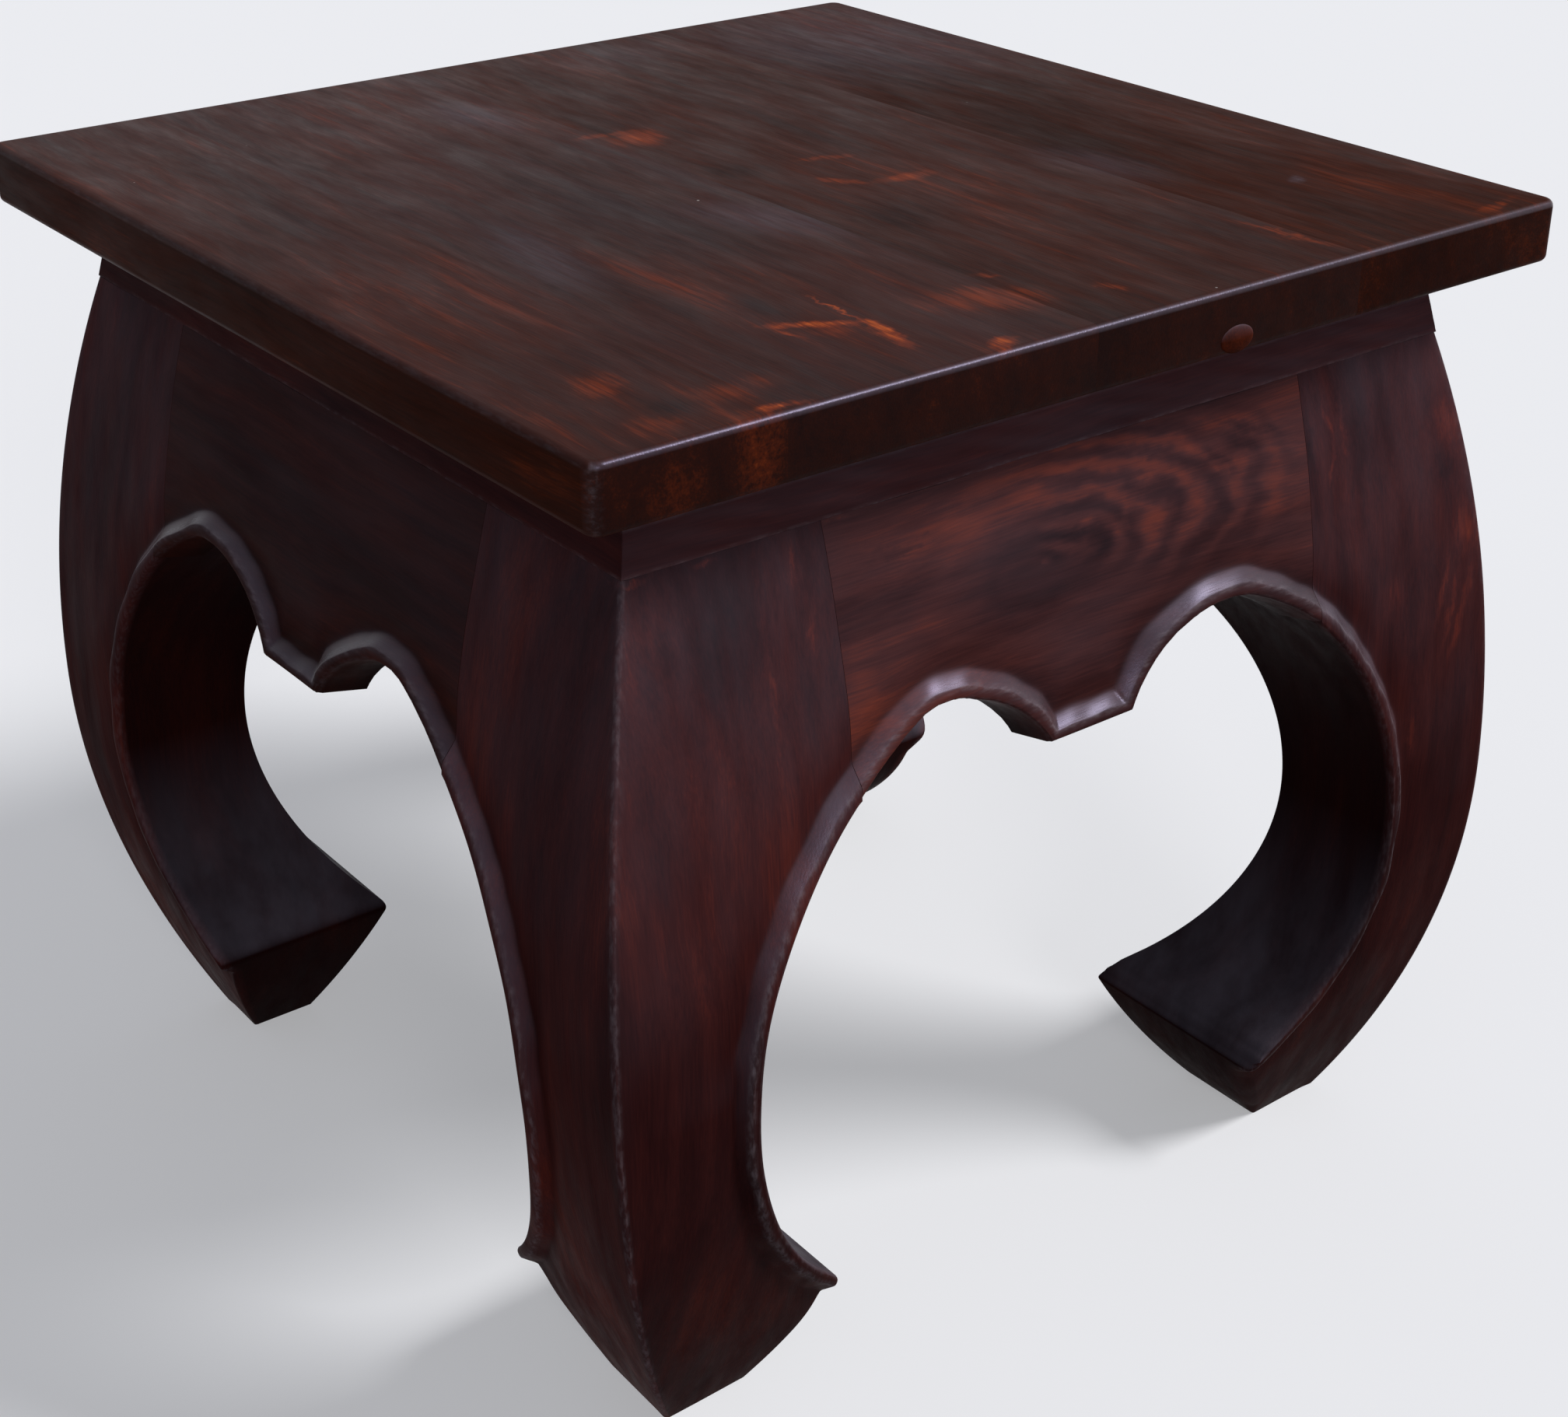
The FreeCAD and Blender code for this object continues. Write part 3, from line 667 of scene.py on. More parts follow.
def pick(piece: bpy.types.Object) -> None:
    """Make a piece the active one, and the only one that is selected.

    Args:
        piece: The piece.
    """
    bpy.ops.object.select_all(action="DESELECT")
    piece.select_set(True)
    bpy.context.view_layer.objects.active = piece


def hand_over(piece: bpy.types.Object, node: str, finish: StainedWood) -> None:
    """Shade a piece, give it its finish and let it stand for its solid.

    Args:
        piece: Finished piece.
        node: Solid that it replaces.
        finish: Wood that it is made of.
    """
    pick(piece)
    bpy.ops.object.shade_smooth_by_angle(angle=SMOOTH_ANGLE)
    piece.data.materials.clear()
    piece.data.materials.append(finish.material())
    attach(piece, BODY)
    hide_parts(node)
    LOG.info("%s: %d faces", piece.name, len(piece.data.polygons))


def store(piece: bpy.types.Object, name: str, values: np.ndarray) -> None:
    """Store one number for each vertex, for the finish to read."""
    attribute = piece.data.attributes.new(name, "FLOAT", "POINT")
    attribute.data.foreach_set("value", np.ascontiguousarray(values, np.float32).ravel())


@dataclass(frozen=True)
class Skin:
    """Closed rings of points in millimetres, one after another, and the numbers stored at each point."""

    rings: np.ndarray
    numbers: dict[str, np.ndarray]

    @classmethod
    def stacked(cls, sections: list[Section]) -> "Skin":
        """Make a skin of sections.

        Args:
            sections: Rings in their order, with their numbers.

        Returns:
            The skin.
        """
        rings = np.array([ring for ring, _ in sections])
        numbers = {name: np.array([stored[name] for _, stored in sections]) for name in sections[0][1]}
        return cls(rings, numbers)

    def build(self, name: str) -> bpy.types.Object:
        """Stretch a grid over the rings, close it round and cap its ends.

        Args:
            name: Name of the piece.

        Returns:
            The new object.
        """
        rows, count = self.rings.shape[:2]
        bpy.ops.object.select_all(action="DESELECT")
        bpy.ops.mesh.primitive_grid_add(x_subdivisions=count, y_subdivisions=rows - 1)
        piece = bpy.context.object
        piece.name = name
        places = np.concatenate((self.rings, self.rings[:, :1]), axis=1) * MM
        piece.data.vertices.foreach_set("co", np.ascontiguousarray(places, np.float32).ravel())
        for label, values in self.numbers.items():
            store(piece, label, np.concatenate((values, values[:, :1]), axis=1))
        bpy.ops.object.mode_set(mode="EDIT")
        bpy.ops.mesh.select_mode(type="VERT")
        bpy.ops.mesh.select_all(action="SELECT")
        bpy.ops.mesh.remove_doubles(threshold=MERGE_DISTANCE)
        bpy.ops.mesh.select_all(action="SELECT")
        bpy.ops.mesh.fill_holes(sides=0)
        bpy.ops.mesh.select_all(action="SELECT")
        bpy.ops.mesh.normals_make_consistent(inside=False)
        bpy.ops.object.mode_set(mode="OBJECT")
        return piece


def smooth_step(values: np.ndarray, low: float, high: float) -> np.ndarray:
    """Return nought below low, one above high and a soft rise between."""
    share = np.clip((values - low) / (high - low), 0.0, 1.0)
    return share * share * (3 - 2 * share)


def read(table: Table, places: np.ndarray) -> np.ndarray:
    """Read a table of places and values at other places, by straight lines between its rows."""
    return np.interp(places, *zip(*table))


def ripple(waves: tuple[Wave, ...], along: np.ndarray, up: np.ndarray, number: int) -> np.ndarray:
    """Add up waves that run across a side.

    Args:
        waves: The waves.
        along: Places along the side.
        up: Heights of the places.
        number: Number of the side.

    Returns:
        The sum of the waves at each place.
    """
    return sum(weight * np.sin(by_along * along + by_up * up + by_side * number)
               for by_along, by_up, by_side, weight in waves)


def rounding(run: np.ndarray, radius: float) -> np.ndarray:
    """Return how far a rounded edge falls away at a run from it."""
    left = np.clip(radius - run, 0.0, None)
    return radius - np.sqrt(np.maximum(radius ** 2 - left ** 2, 0.0))


def arc_radius(depth: float, run: float) -> float:
    """Return the radius of an arc that starts along its run and ends at a depth from it."""
    return (depth ** 2 + run ** 2) / (2 * depth)


def cove_centre(low: Pair, high: Pair, radius: float) -> Pair:
    """Find the centre of a cove between two points of a section, which lies outside the wood.

    Args:
        low: Lower point, out from the middle and up.
        high: Upper point.
        radius: Radius of the cove.

    Returns:
        The centre, out from the middle and up.
    """
    chord = math.hypot(high[0] - low[0], high[1] - low[1])
    reach = math.sqrt(radius ** 2 - (chord / 2) ** 2)
    return ((low[0] + high[0]) / 2 + reach * (high[1] - low[1]) / chord,
            (low[1] + high[1]) / 2 + reach * (low[0] - high[0]) / chord)


@dataclass(frozen=True)
class SideCurves:
    """Curves that legs and aprons share, in millimetres out from the table's middle and up from the floor."""

    head: Pair = (174.5, 324.5)
    bulge: Pair = (199.5, 156.0)
    # Inner and outer end of the sole, which lies on the floor
    sole: Pair = (136.5, 163.0)
    toe: Pair = (102.5, 45.0)
    toe_cut_radius: float = 80.0
    # How far the worn tip of the toe is blunted, in how many samples, and how many times as far up it is felt
    toe_wear: float = 3.0
    toe_samples: int = 13
    toe_blend: float = 4.0
    waist: Pair = (147.0, 142.0)
    peak: Pair = (63.0, 259.5)
    crown_radius: float = 30.0
    pendant: Pair = (20.5, 233.0)
    seam: float = 103.0
    step: float = 0.25
    # Raised bead and the soft hollow beside it: distance from the edge and height over the face
    bead: Table = (
        (0.0, 2.8), (1.9, 3.0), (3.4, 2.95), (4.0, 2.75), (4.4, 2.4), (8.1, -0.95), (8.6, -1.2), (9.2, -1.25),
        (11.0, -1.1), (13.0, -0.85), (15.0, -0.6), (17.0, -0.4), (20.0, -0.18), (23.0, -0.05), (26.0, 0.0))
    bead_rise: float = 3.0
    columns: tuple[float, ...] = (
        0.0, 0.15, 0.5, 0.9, 1.3, 1.9, 2.6, 3.4, 4.0, 4.4, 5.1, 5.9, 6.7, 7.4, 8.1, 8.6, 9.2, 10.0, 11.0,
        13.0, 15.0, 17.0, 20.0, 23.0, 26.0)
    # By distance from the edge: wear of edge and crest of the bead, sheen of its slope, painted shade at its
    # foot
    rub: Table = ((0.0, 0.5), (0.9, 0.5), (2.0, 0.0), (3.2, 0.6), (3.8, 1.3), (4.6, 1.3), (5.5, 0.0))
    polish: Table = ((4.0, 0.0), (4.4, 0.8), (5.1, 1.0), (6.2, 0.95), (7.6, 0.5), (8.4, 0.0))
    painted_shade: Table = ((7.8, 0.0), (8.3, 0.45), (9.0, 0.35), (13.0, 0.0))
    edge_radius: float = 1.3
    # Marks of hand work: how far the bead wanders, and how deep the face is hollowed
    wander_reach: float = 0.35
    wander_waves: tuple[Wave, ...] = ((0.11, 0.19, 1.0, 1.0), (0.31, -0.27, 2.1, 0.7))
    wander_start: Pair = (1.3, 3.3)
    wander_end: Pair = (11.0, 23.0)
    hollow_depth: float = 0.12
    hollow_waves: tuple[Wave, ...] = ((0.09, 0.05, 1.0, 1.0), (0.05, -0.13, 1.7, 1.0))

    @property
    def arch(self) -> Pair:
        """Fit the arch, so that it runs from the waist into the crown.

        Returns:
            Place of its centre along the side, and its radius.
        """
        crown_height = self.peak[1] - self.crown_radius
        inner = self.waist[0] - self.crown_radius
        lift = crown_height - self.waist[1]
        centre = (inner ** 2 - self.peak[0] ** 2 - lift ** 2) / (2 * (inner - self.peak[0]))
        return centre, self.waist[0] - centre

    @property
    def toe_arc(self) -> Pair:
        """Place of the centre and radius of the curve from the waist to the toe."""
        radius = arc_radius(self.waist[0] - self.toe[0], self.waist[1] - self.toe[1])
        return self.waist[0] - radius, radius

    def outer(self, height: np.ndarray) -> np.ndarray:
        """Follow the plain outer face.

        Args:
            height: Heights of the points.

        Returns:
            How far the face stands out at each height.
        """
        upper = arc_radius(self.bulge[0] - self.head[0], self.head[1] - self.bulge[1])
        lower = arc_radius(self.bulge[0] - self.sole[1], self.bulge[1])
        radius = np.where(height > self.bulge[1], upper, lower)
        return self.bulge[0] - radius + np.sqrt(radius ** 2 - (height - self.bulge[1]) ** 2)

    def inner(self, height: float) -> float:
        """Follow the inner face of a leg, with its toe worn blunt.

        Args:
            height: Height of the point.

        Returns:
            How far out the face lies.
        """
        if height > self.toe[1] + self.toe_blend * self.toe_wear:
            return float(self.sawn(height))
        return float(self.sawn(height + np.linspace(-self.toe_wear, self.toe_wear, self.toe_samples)).mean())

    def sawn(self, height: np.ndarray) -> np.ndarray:
        """Follow the inner face of a leg as it was sawn.

        Args:
            height: Heights of the points.

        Returns:
            How far out the face lies at each height.
        """
        out, up = cove_centre((self.sole[0], 0.0), self.toe, self.toe_cut_radius)
        cut = out - np.sqrt(np.maximum(self.toe_cut_radius ** 2 - (height - up) ** 2, 0.0))
        return np.where(height < self.toe[1], cut, np.maximum(self.offset_line(height, 0.0), self.seam))

    def edge_arc(self, height: np.ndarray) -> tuple[np.ndarray, np.ndarray]:
        """Return the centre and radius of the beaded edge of a leg at each height."""
        above = height > self.waist[1]
        return tuple(np.where(above, upper, lower) for upper, lower in zip(self.arch, self.toe_arc))

    def offset_line(self, height: np.ndarray, distance: np.ndarray) -> np.ndarray:
        """Return how far out the line that runs beside the edge of a leg lies.

        Args:
            height: Heights of the points.
            distance: Distance of the line from the edge, for each point or for all.

        Returns:
            Distances out from the middle, or the arc's centre where the line does not reach that height.
        """
        centre, radius = self.edge_arc(height)
        reach = radius + distance
        return centre + np.sqrt(np.maximum(reach ** 2 - (height - self.waist[1]) ** 2, 0.0))

    def edge_distance(self, out: np.ndarray, height: np.ndarray) -> np.ndarray:
        """Return the distance of points on a leg from its beaded edge."""
        centre, radius = self.edge_arc(height)
        return np.hypot(out - centre, height - self.waist[1]) - radius

    def wander(self, along: np.ndarray, up: np.ndarray, number: int) -> np.ndarray:
        """Return how far the bead of a side wanders at each place."""
        return self.wander_reach * ripple(self.wander_waves, along, up, number)

    def wander_share(self, distance: np.ndarray) -> np.ndarray:
        """Return how much of the wander reaches each distance from the edge."""
        return smooth_step(distance, *self.wander_start) * (1.0 - smooth_step(distance, *self.wander_end))

    def hollow(self, along: np.ndarray, up: np.ndarray, number: int) -> np.ndarray:
        """Return how deep the face of a side is hollowed at each place."""
        return self.hollow_depth * (len(self.hollow_waves) + ripple(self.hollow_waves, along, up, number))

    def lower_line(self) -> np.ndarray:
        """Follow the lower edge of an apron and its legs.

        Returns:
            Points from the pendant out to the waist, along the side and up.
        """
        centre, radius = self.arch
        crown = self.peak[1] - self.crown_radius
        meeting = math.atan2(crown - self.waist[1], self.peak[0] - centre)
        run = self.peak[0] - self.pendant[0]
        shoulder_radius = arc_radius(self.peak[1] - self.pendant[1], run)
        shoulder = self.peak[1] - shoulder_radius
        start = math.atan2(self.pendant[1] - shoulder, -run)
        flat = np.arange(-self.pendant[0], self.pendant[0], self.step)
        parts = [np.column_stack((flat, np.full(len(flat), self.pendant[1])))]
        for middle, up, size, first, last in (
                (self.peak[0], shoulder, shoulder_radius, start, math.pi / 2),
                (self.peak[0], crown, self.crown_radius, math.pi / 2, meeting),
                (centre, self.waist[1], radius, meeting, 0.0)):
            angles = np.linspace(first, last, int(abs(last - first) * size / self.step) + 2)
            parts.append(np.column_stack((middle + size * np.cos(angles), up + size * np.sin(angles))))
        return np.vstack(parts)


# Sub-assemblies


@dataclass
class TableTop:
    """Flat top of four boards, glued edge to edge."""

    nodes: tuple[str, ...] = ("top_board_1", "top_board_2", "top_board_3", "top_board_4")
    corner_radius: float = 5.0 * MM
    corner_segments: int = 6
    arris_radius: float = 2.5 * MM
    arris_segments: int = 5
    # An edge whose direction rises by more than this is upright
    upright_rise: float = 0.5
    # Band beside an edge that belongs to its arris, in radii of the arris
    arris_band: float = 1.01
    # Wear of the upper arrises, and of the upright corners by their share of the round
    side_wear: float = 0.5
    end_wear: float = 0.2
    corner_wear: Table = ((0.2, 0.0), (0.7, 1.0))
    side_dullness: float = 0.06
    # Painted sheen on faces that look up, and the specular level, of each board
    painted_sheen: Table = ((0.015, 0.03), (0.02, 0.03), (0.005, 0.025), (0.0, 0.011))
    gloss: float = 0.4
    polish: float = 0.4
    end_shade: float = 0.55
    dust: float = 0.05
    # Places where the stain took badly, orange, or too well, black
    stains: tuple[Mark, ...] = (
        ((-18, 50), (6, 68), 11, 0.22), ((-28, 71), (-4, 69), 3, 0.14), ((20, -1), (44, -9), 2.5, 0.12),
        ((12, -24), (24, -41), 3, 0.18), ((24, -41), (50, -43), 4, 0.14), ((-98, -140), (-70, -156), 3, 0.34),
        ((-70, -154), (-75, -179), 3.5, 0.36), ((-98, -140), (-95, -157), 1.5, 0.16),
        ((-93, -152), (-76, -158), 5, 0.1), ((-70, -126), (-71, -153), 0.9, 0.26),
        ((-44, -150), (-8, -174), 14, 0.19), ((-17, -140), (-9, -148), 2, 0.18),
        ((-57, -197), (-45, -191), 4, 0.28), ((9, -168), (11, -183), 3, 0.14),
        ((92, -150), (97, -191), 2.5, 0.2), ((165, -194), (190, -189), 3, 0.14),
        ((-160, -140), (-168, -162), 9, 0.15), ((-185, -190), (-160, -184), 8, 0.1),
        ((-142, -193), (-125, -198), 3, 0.28), ((-150, -178), (-118, -176), 8, 0.12),
        ((-98, -22), (-101, -122), 9, 0.08), ((-168, -176), (-148, -180), 8, -0.12),
        ((-87, -138), (-87, -113), 9, -0.12), ((5, -95), (20, -55), 18, -0.09), ((-16, 8), (4, -6), 9, -0.08))
    # Orange places on the front edge: place along it and height, half lengths, and how much lighter
    edge_stains: tuple[tuple[Pair, Point, float], ...] = (
        ((-144, 362), (9, 8, 18), 0.18), ((-172, 362), (10, 8, 12), 0.1))
    # Places where the lacquer is scuffed, and patches of painted sheen, both mixed toward a bluish reflection
    # colour
    scuffs_and_sheen_patches: tuple[Mark, ...] = (
        ((-45, -24), (-15, -82), 15, 0.08), ((-107, -6), (-121, -80), 11, 0.07),
        ((-40, 150), (-37, 95), 12, 0.08), ((102, -43), (109, -99), 13, 0.06),
        ((143, -127), (148, -130), 4, 0.12), ((150, 205), (158, 60), 62, 0.075),
        ((60, 200), (64, 150), 40, 0.03))
    spot_margin: float = 12.0
    first_seed: int = 1
    slot: str = "top_wood"

    def build(self) -> None:
        """Make one slab and saw each board from a copy of it."""
        slab = self.slab()
        joints = [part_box(node)[1][0] for node in self.nodes[:-1]]
        for number, node in enumerate(self.nodes):
            cuts = [(joint, -1.0) for joint in joints[number - 1:number]]
            cuts += [(joint, 1.0) for joint in joints[number:number + 1]]
            board = bpy.data.objects.new(node + "_sanded", slab.data.copy())
            bpy.context.scene.collection.objects.link(board)
            pick(board)
            bpy.ops.object.mode_set(mode="EDIT")
            for joint, way in cuts:
                bpy.ops.mesh.select_all(action="SELECT")
                bpy.ops.mesh.bisect(plane_co=(joint, 0.0, 0.0), plane_no=(way, 0.0, 0.0), clear_outer=True,
                                    use_fill=True)
            bpy.ops.object.mode_set(mode="OBJECT")
            hand_over(board, node, self.finish(number))
        bpy.data.objects.remove(slab)

    def slab(self) -> bpy.types.Object:
        """Model the whole top: a block with rounded corners and arrises.

        Returns:
            The slab.
        """
        low = Vector(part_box(self.nodes[0])[0])
        high = Vector(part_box(self.nodes[-1])[1])
        bpy.ops.object.select_all(action="DESELECT")
        bpy.ops.mesh.primitive_cube_add(size=1.0, location=(low + high) / 2, scale=high - low)
        slab = bpy.context.object
        bpy.ops.object.transform_apply(location=True, rotation=True, scale=True)
        bpy.ops.object.mode_set(mode="EDIT")
        bpy.ops.mesh.select_mode(type="EDGE")
        self.select_edges(slab, upright=True)
        bpy.ops.mesh.bevel(offset=self.corner_radius, segments=self.corner_segments)
        self.select_edges(slab, upright=False)
        bpy.ops.mesh.bevel(offset=self.arris_radius, segments=self.arris_segments)
        bpy.ops.object.mode_set(mode="OBJECT")
        places = np.array([vertex.co for vertex in slab.data.vertices])
        for name, values in self.numbers(places).items():
            store(slab, name, values)
        return slab

    def select_edges(self, slab: bpy.types.Object, upright: bool) -> None:
        """Select the upright edges of the slab, or the level ones.

        Args:
            slab: Slab in edit mode.
            upright: True for the upright edges.
        """
        bpy.ops.mesh.select_all(action="DESELECT")
        shape = bmesh.from_edit_mesh(slab.data)
        for edge in shape.edges:
            way = (edge.verts[1].co - edge.verts[0].co).normalized()
            edge.select_set((abs(way.z) > self.upright_rise) is upright)
        bmesh.update_edit_mesh(slab.data)

    def numbers(self, places: np.ndarray) -> dict[str, np.ndarray]:
        """Return the numbers stored on the slab.

        Args:
            places: Places of its vertices.

        Returns:
            Wear of arrises and upright corners; sheen of the front and back arris, below nought on the sides.
        """
        low, high = np.abs(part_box(self.nodes[0]))
        inset = low[:2] - np.abs(places[:, :2])
        side, end = (inset < self.arris_band * self.arris_radius).T
        turn = np.clip((places[:, 2] - high[2]) / self.arris_radius + 1.0, 0.0, 1.0)
        arris = 4.0 * turn * (1.0 - turn)
        corner = read(self.corner_wear, np.clip(1.0 - inset / self.corner_radius, 0.0, 1.0).min(axis=1))
        wear = np.maximum(arris * np.where(side, self.side_wear, self.end_wear), corner)
        dullness = np.where(inset[:, 0] < MERGE_DISTANCE, self.side_dullness, 0.0)
        return {WEAR: wear, SHEEN: np.where(end, arris ** 2, 0.0) - dullness}

    def finish(self, number: int) -> StainedWood:
        """Choose the finish of one board, with the spots that lie on it.

        Args:
            number: Number of the board, from nought.

        Returns:
            The finish.
        """
        left, right = (corner[0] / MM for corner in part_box(self.nodes[number]))
        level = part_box(self.nodes[0])[1][2] / MM
        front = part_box(self.nodes[0])[0][1] / MM
        stains = [stroke(mark, Turn.ABOUT_Z, level) for mark in self.stains]
        stains += [Patch((along, front, up), half, lift) for (along, up), half, lift in self.edge_stains]
        scuffs_and_sheen_patches = [stroke(mark, Turn.ABOUT_Z, level) for mark in self.scuffs_and_sheen_patches]
        patches, scuffs_and_sheen_patches = (tuple(spot for spot in group
                                 if left - self.spot_margin < spot.centre[0] < right + self.spot_margin)
                           for group in (stains, scuffs_and_sheen_patches))
        painted_sheen_up, shine = self.painted_sheen[number]
        return StainedWood(f"stained_rosewood_board_{number + 1}", Grain.ALONG_Y,
                           seed_of(number + self.first_seed), TOP_STOPS, TOP_STREAKS, dust=self.dust,
                           gloss=self.gloss, painted_sheen_up=painted_sheen_up, specular=shine, polish=self.polish,
                           end_shade=self.end_shade, patches=patches, scuffs_and_sheen_patches=scuffs_and_sheen_patches)


@dataclass
class Collar:
    """Low waist of four mitred rails under the top, coved above a plain shoulder; sizes in millimetres."""

    foot: Pair = (174.5, 324.58)
    shoulder: Pair = (171.5, 338.5)
    neck: Pair = (165.0, 351.95)
    cove_radius: float = 24.0
    back: float = 134.5
    stations: int = 180
    # Points on the shoulder, cove, top, inside and underside of a section
    shoulder_steps: int = 12
    cove_steps: int = 16
    top_steps: int = 6
    inside_steps: int = 6
    below_steps: int = 8
    # Marks of the plane on the front of a rail, by distance out, and their waves
    planed: Pair = (160.0, 164.0)
    roughness: float = 0.08
    short_wave: Wave = (0.21, 0.9, 1.0, 1.0)
    long_wave: Wave = (0.057, 0.0, 1.3, 1.0)
    # Painted sheen on faces that look up, stronger on the front and back rails, where the light catches them,
    # than on the sides
    painted_sheen_up: float = 0.2
    side_painted_sheen_up: float = 0.04
    first_seed: int = 6
    slot: str = "collar_wood"

    def build(self) -> None:
        """Make each rail and dress it."""
        for side in Side:
            node = "collar_rail_" + side.name
            piece = self.skin(side).build(node + "_coved")
            painted_sheen_up = self.painted_sheen_up if side.grain is Grain.ALONG_X else self.side_painted_sheen_up
            finish = StainedWood("stained_rosewood_collar_" + side.name, side.grain,
                                 seed_of(side.number + self.first_seed), LEG_STOPS, STREAKS,
                                 ring_way=RING_WAYS[side.grain], painted_sheen_up=painted_sheen_up)
            hand_over(piece, node, finish)

    def profile(self) -> tuple[np.ndarray, np.ndarray]:
        """Draw the section of a rail.

        Returns:
            Points out from the middle and up, and the wear at each of them.
        """
        centre = cove_centre(self.shoulder, self.neck, self.cove_radius)
        first, last = (math.atan2(up - centre[1], out - centre[0]) for out, up in (self.shoulder, self.neck))
        if last > first:
            last -= math.tau
        angles = np.linspace(first, last, self.cove_steps)
        cove = np.array(centre) + self.cove_radius * np.column_stack((np.cos(angles), np.sin(angles)))
        back_top = (self.back, self.neck[1])
        back_foot = (self.back, self.foot[1])
        shoulder = np.linspace(self.foot, self.shoulder, self.shoulder_steps)[:-1]
        top = np.linspace(self.neck, back_top, self.top_steps)[1:]
        inside = np.linspace(back_top, back_foot, self.inside_steps)[1:]
        below = np.linspace(back_foot, self.foot, self.below_steps)[1:-1]
        points = np.vstack((shoulder, cove, top, inside, below))
        wear = np.zeros(len(points))
        wear[[0, len(shoulder)]] = 1.0
        return points, wear

    def skin(self, side: Side) -> Skin:
        """Run the section along a side, from mitre to mitre.

        Args:
            side: Side of the table.

        Returns:
            Rings of the rail.
        """
        points, wear = self.profile()
        out = np.tile(points[:, 0], (self.stations, 1))
        along = np.linspace(-1.0, 1.0, self.stations)[:, None] * out
        up = np.broadcast_to(points[:, 1], out.shape)
        marks = (ripple((self.short_wave,), along, up, side.number)
                 * ripple((self.long_wave,), along, up, side.number))
        out -= smooth_step(out, *self.planed) * self.roughness * (1 + marks)
        rings = along[..., None] * np.array(side.along) + out[..., None] * np.array(side.out)
        rings[..., 2] = up
        return Skin(rings, {WEAR: np.broadcast_to(wear, out.shape)})


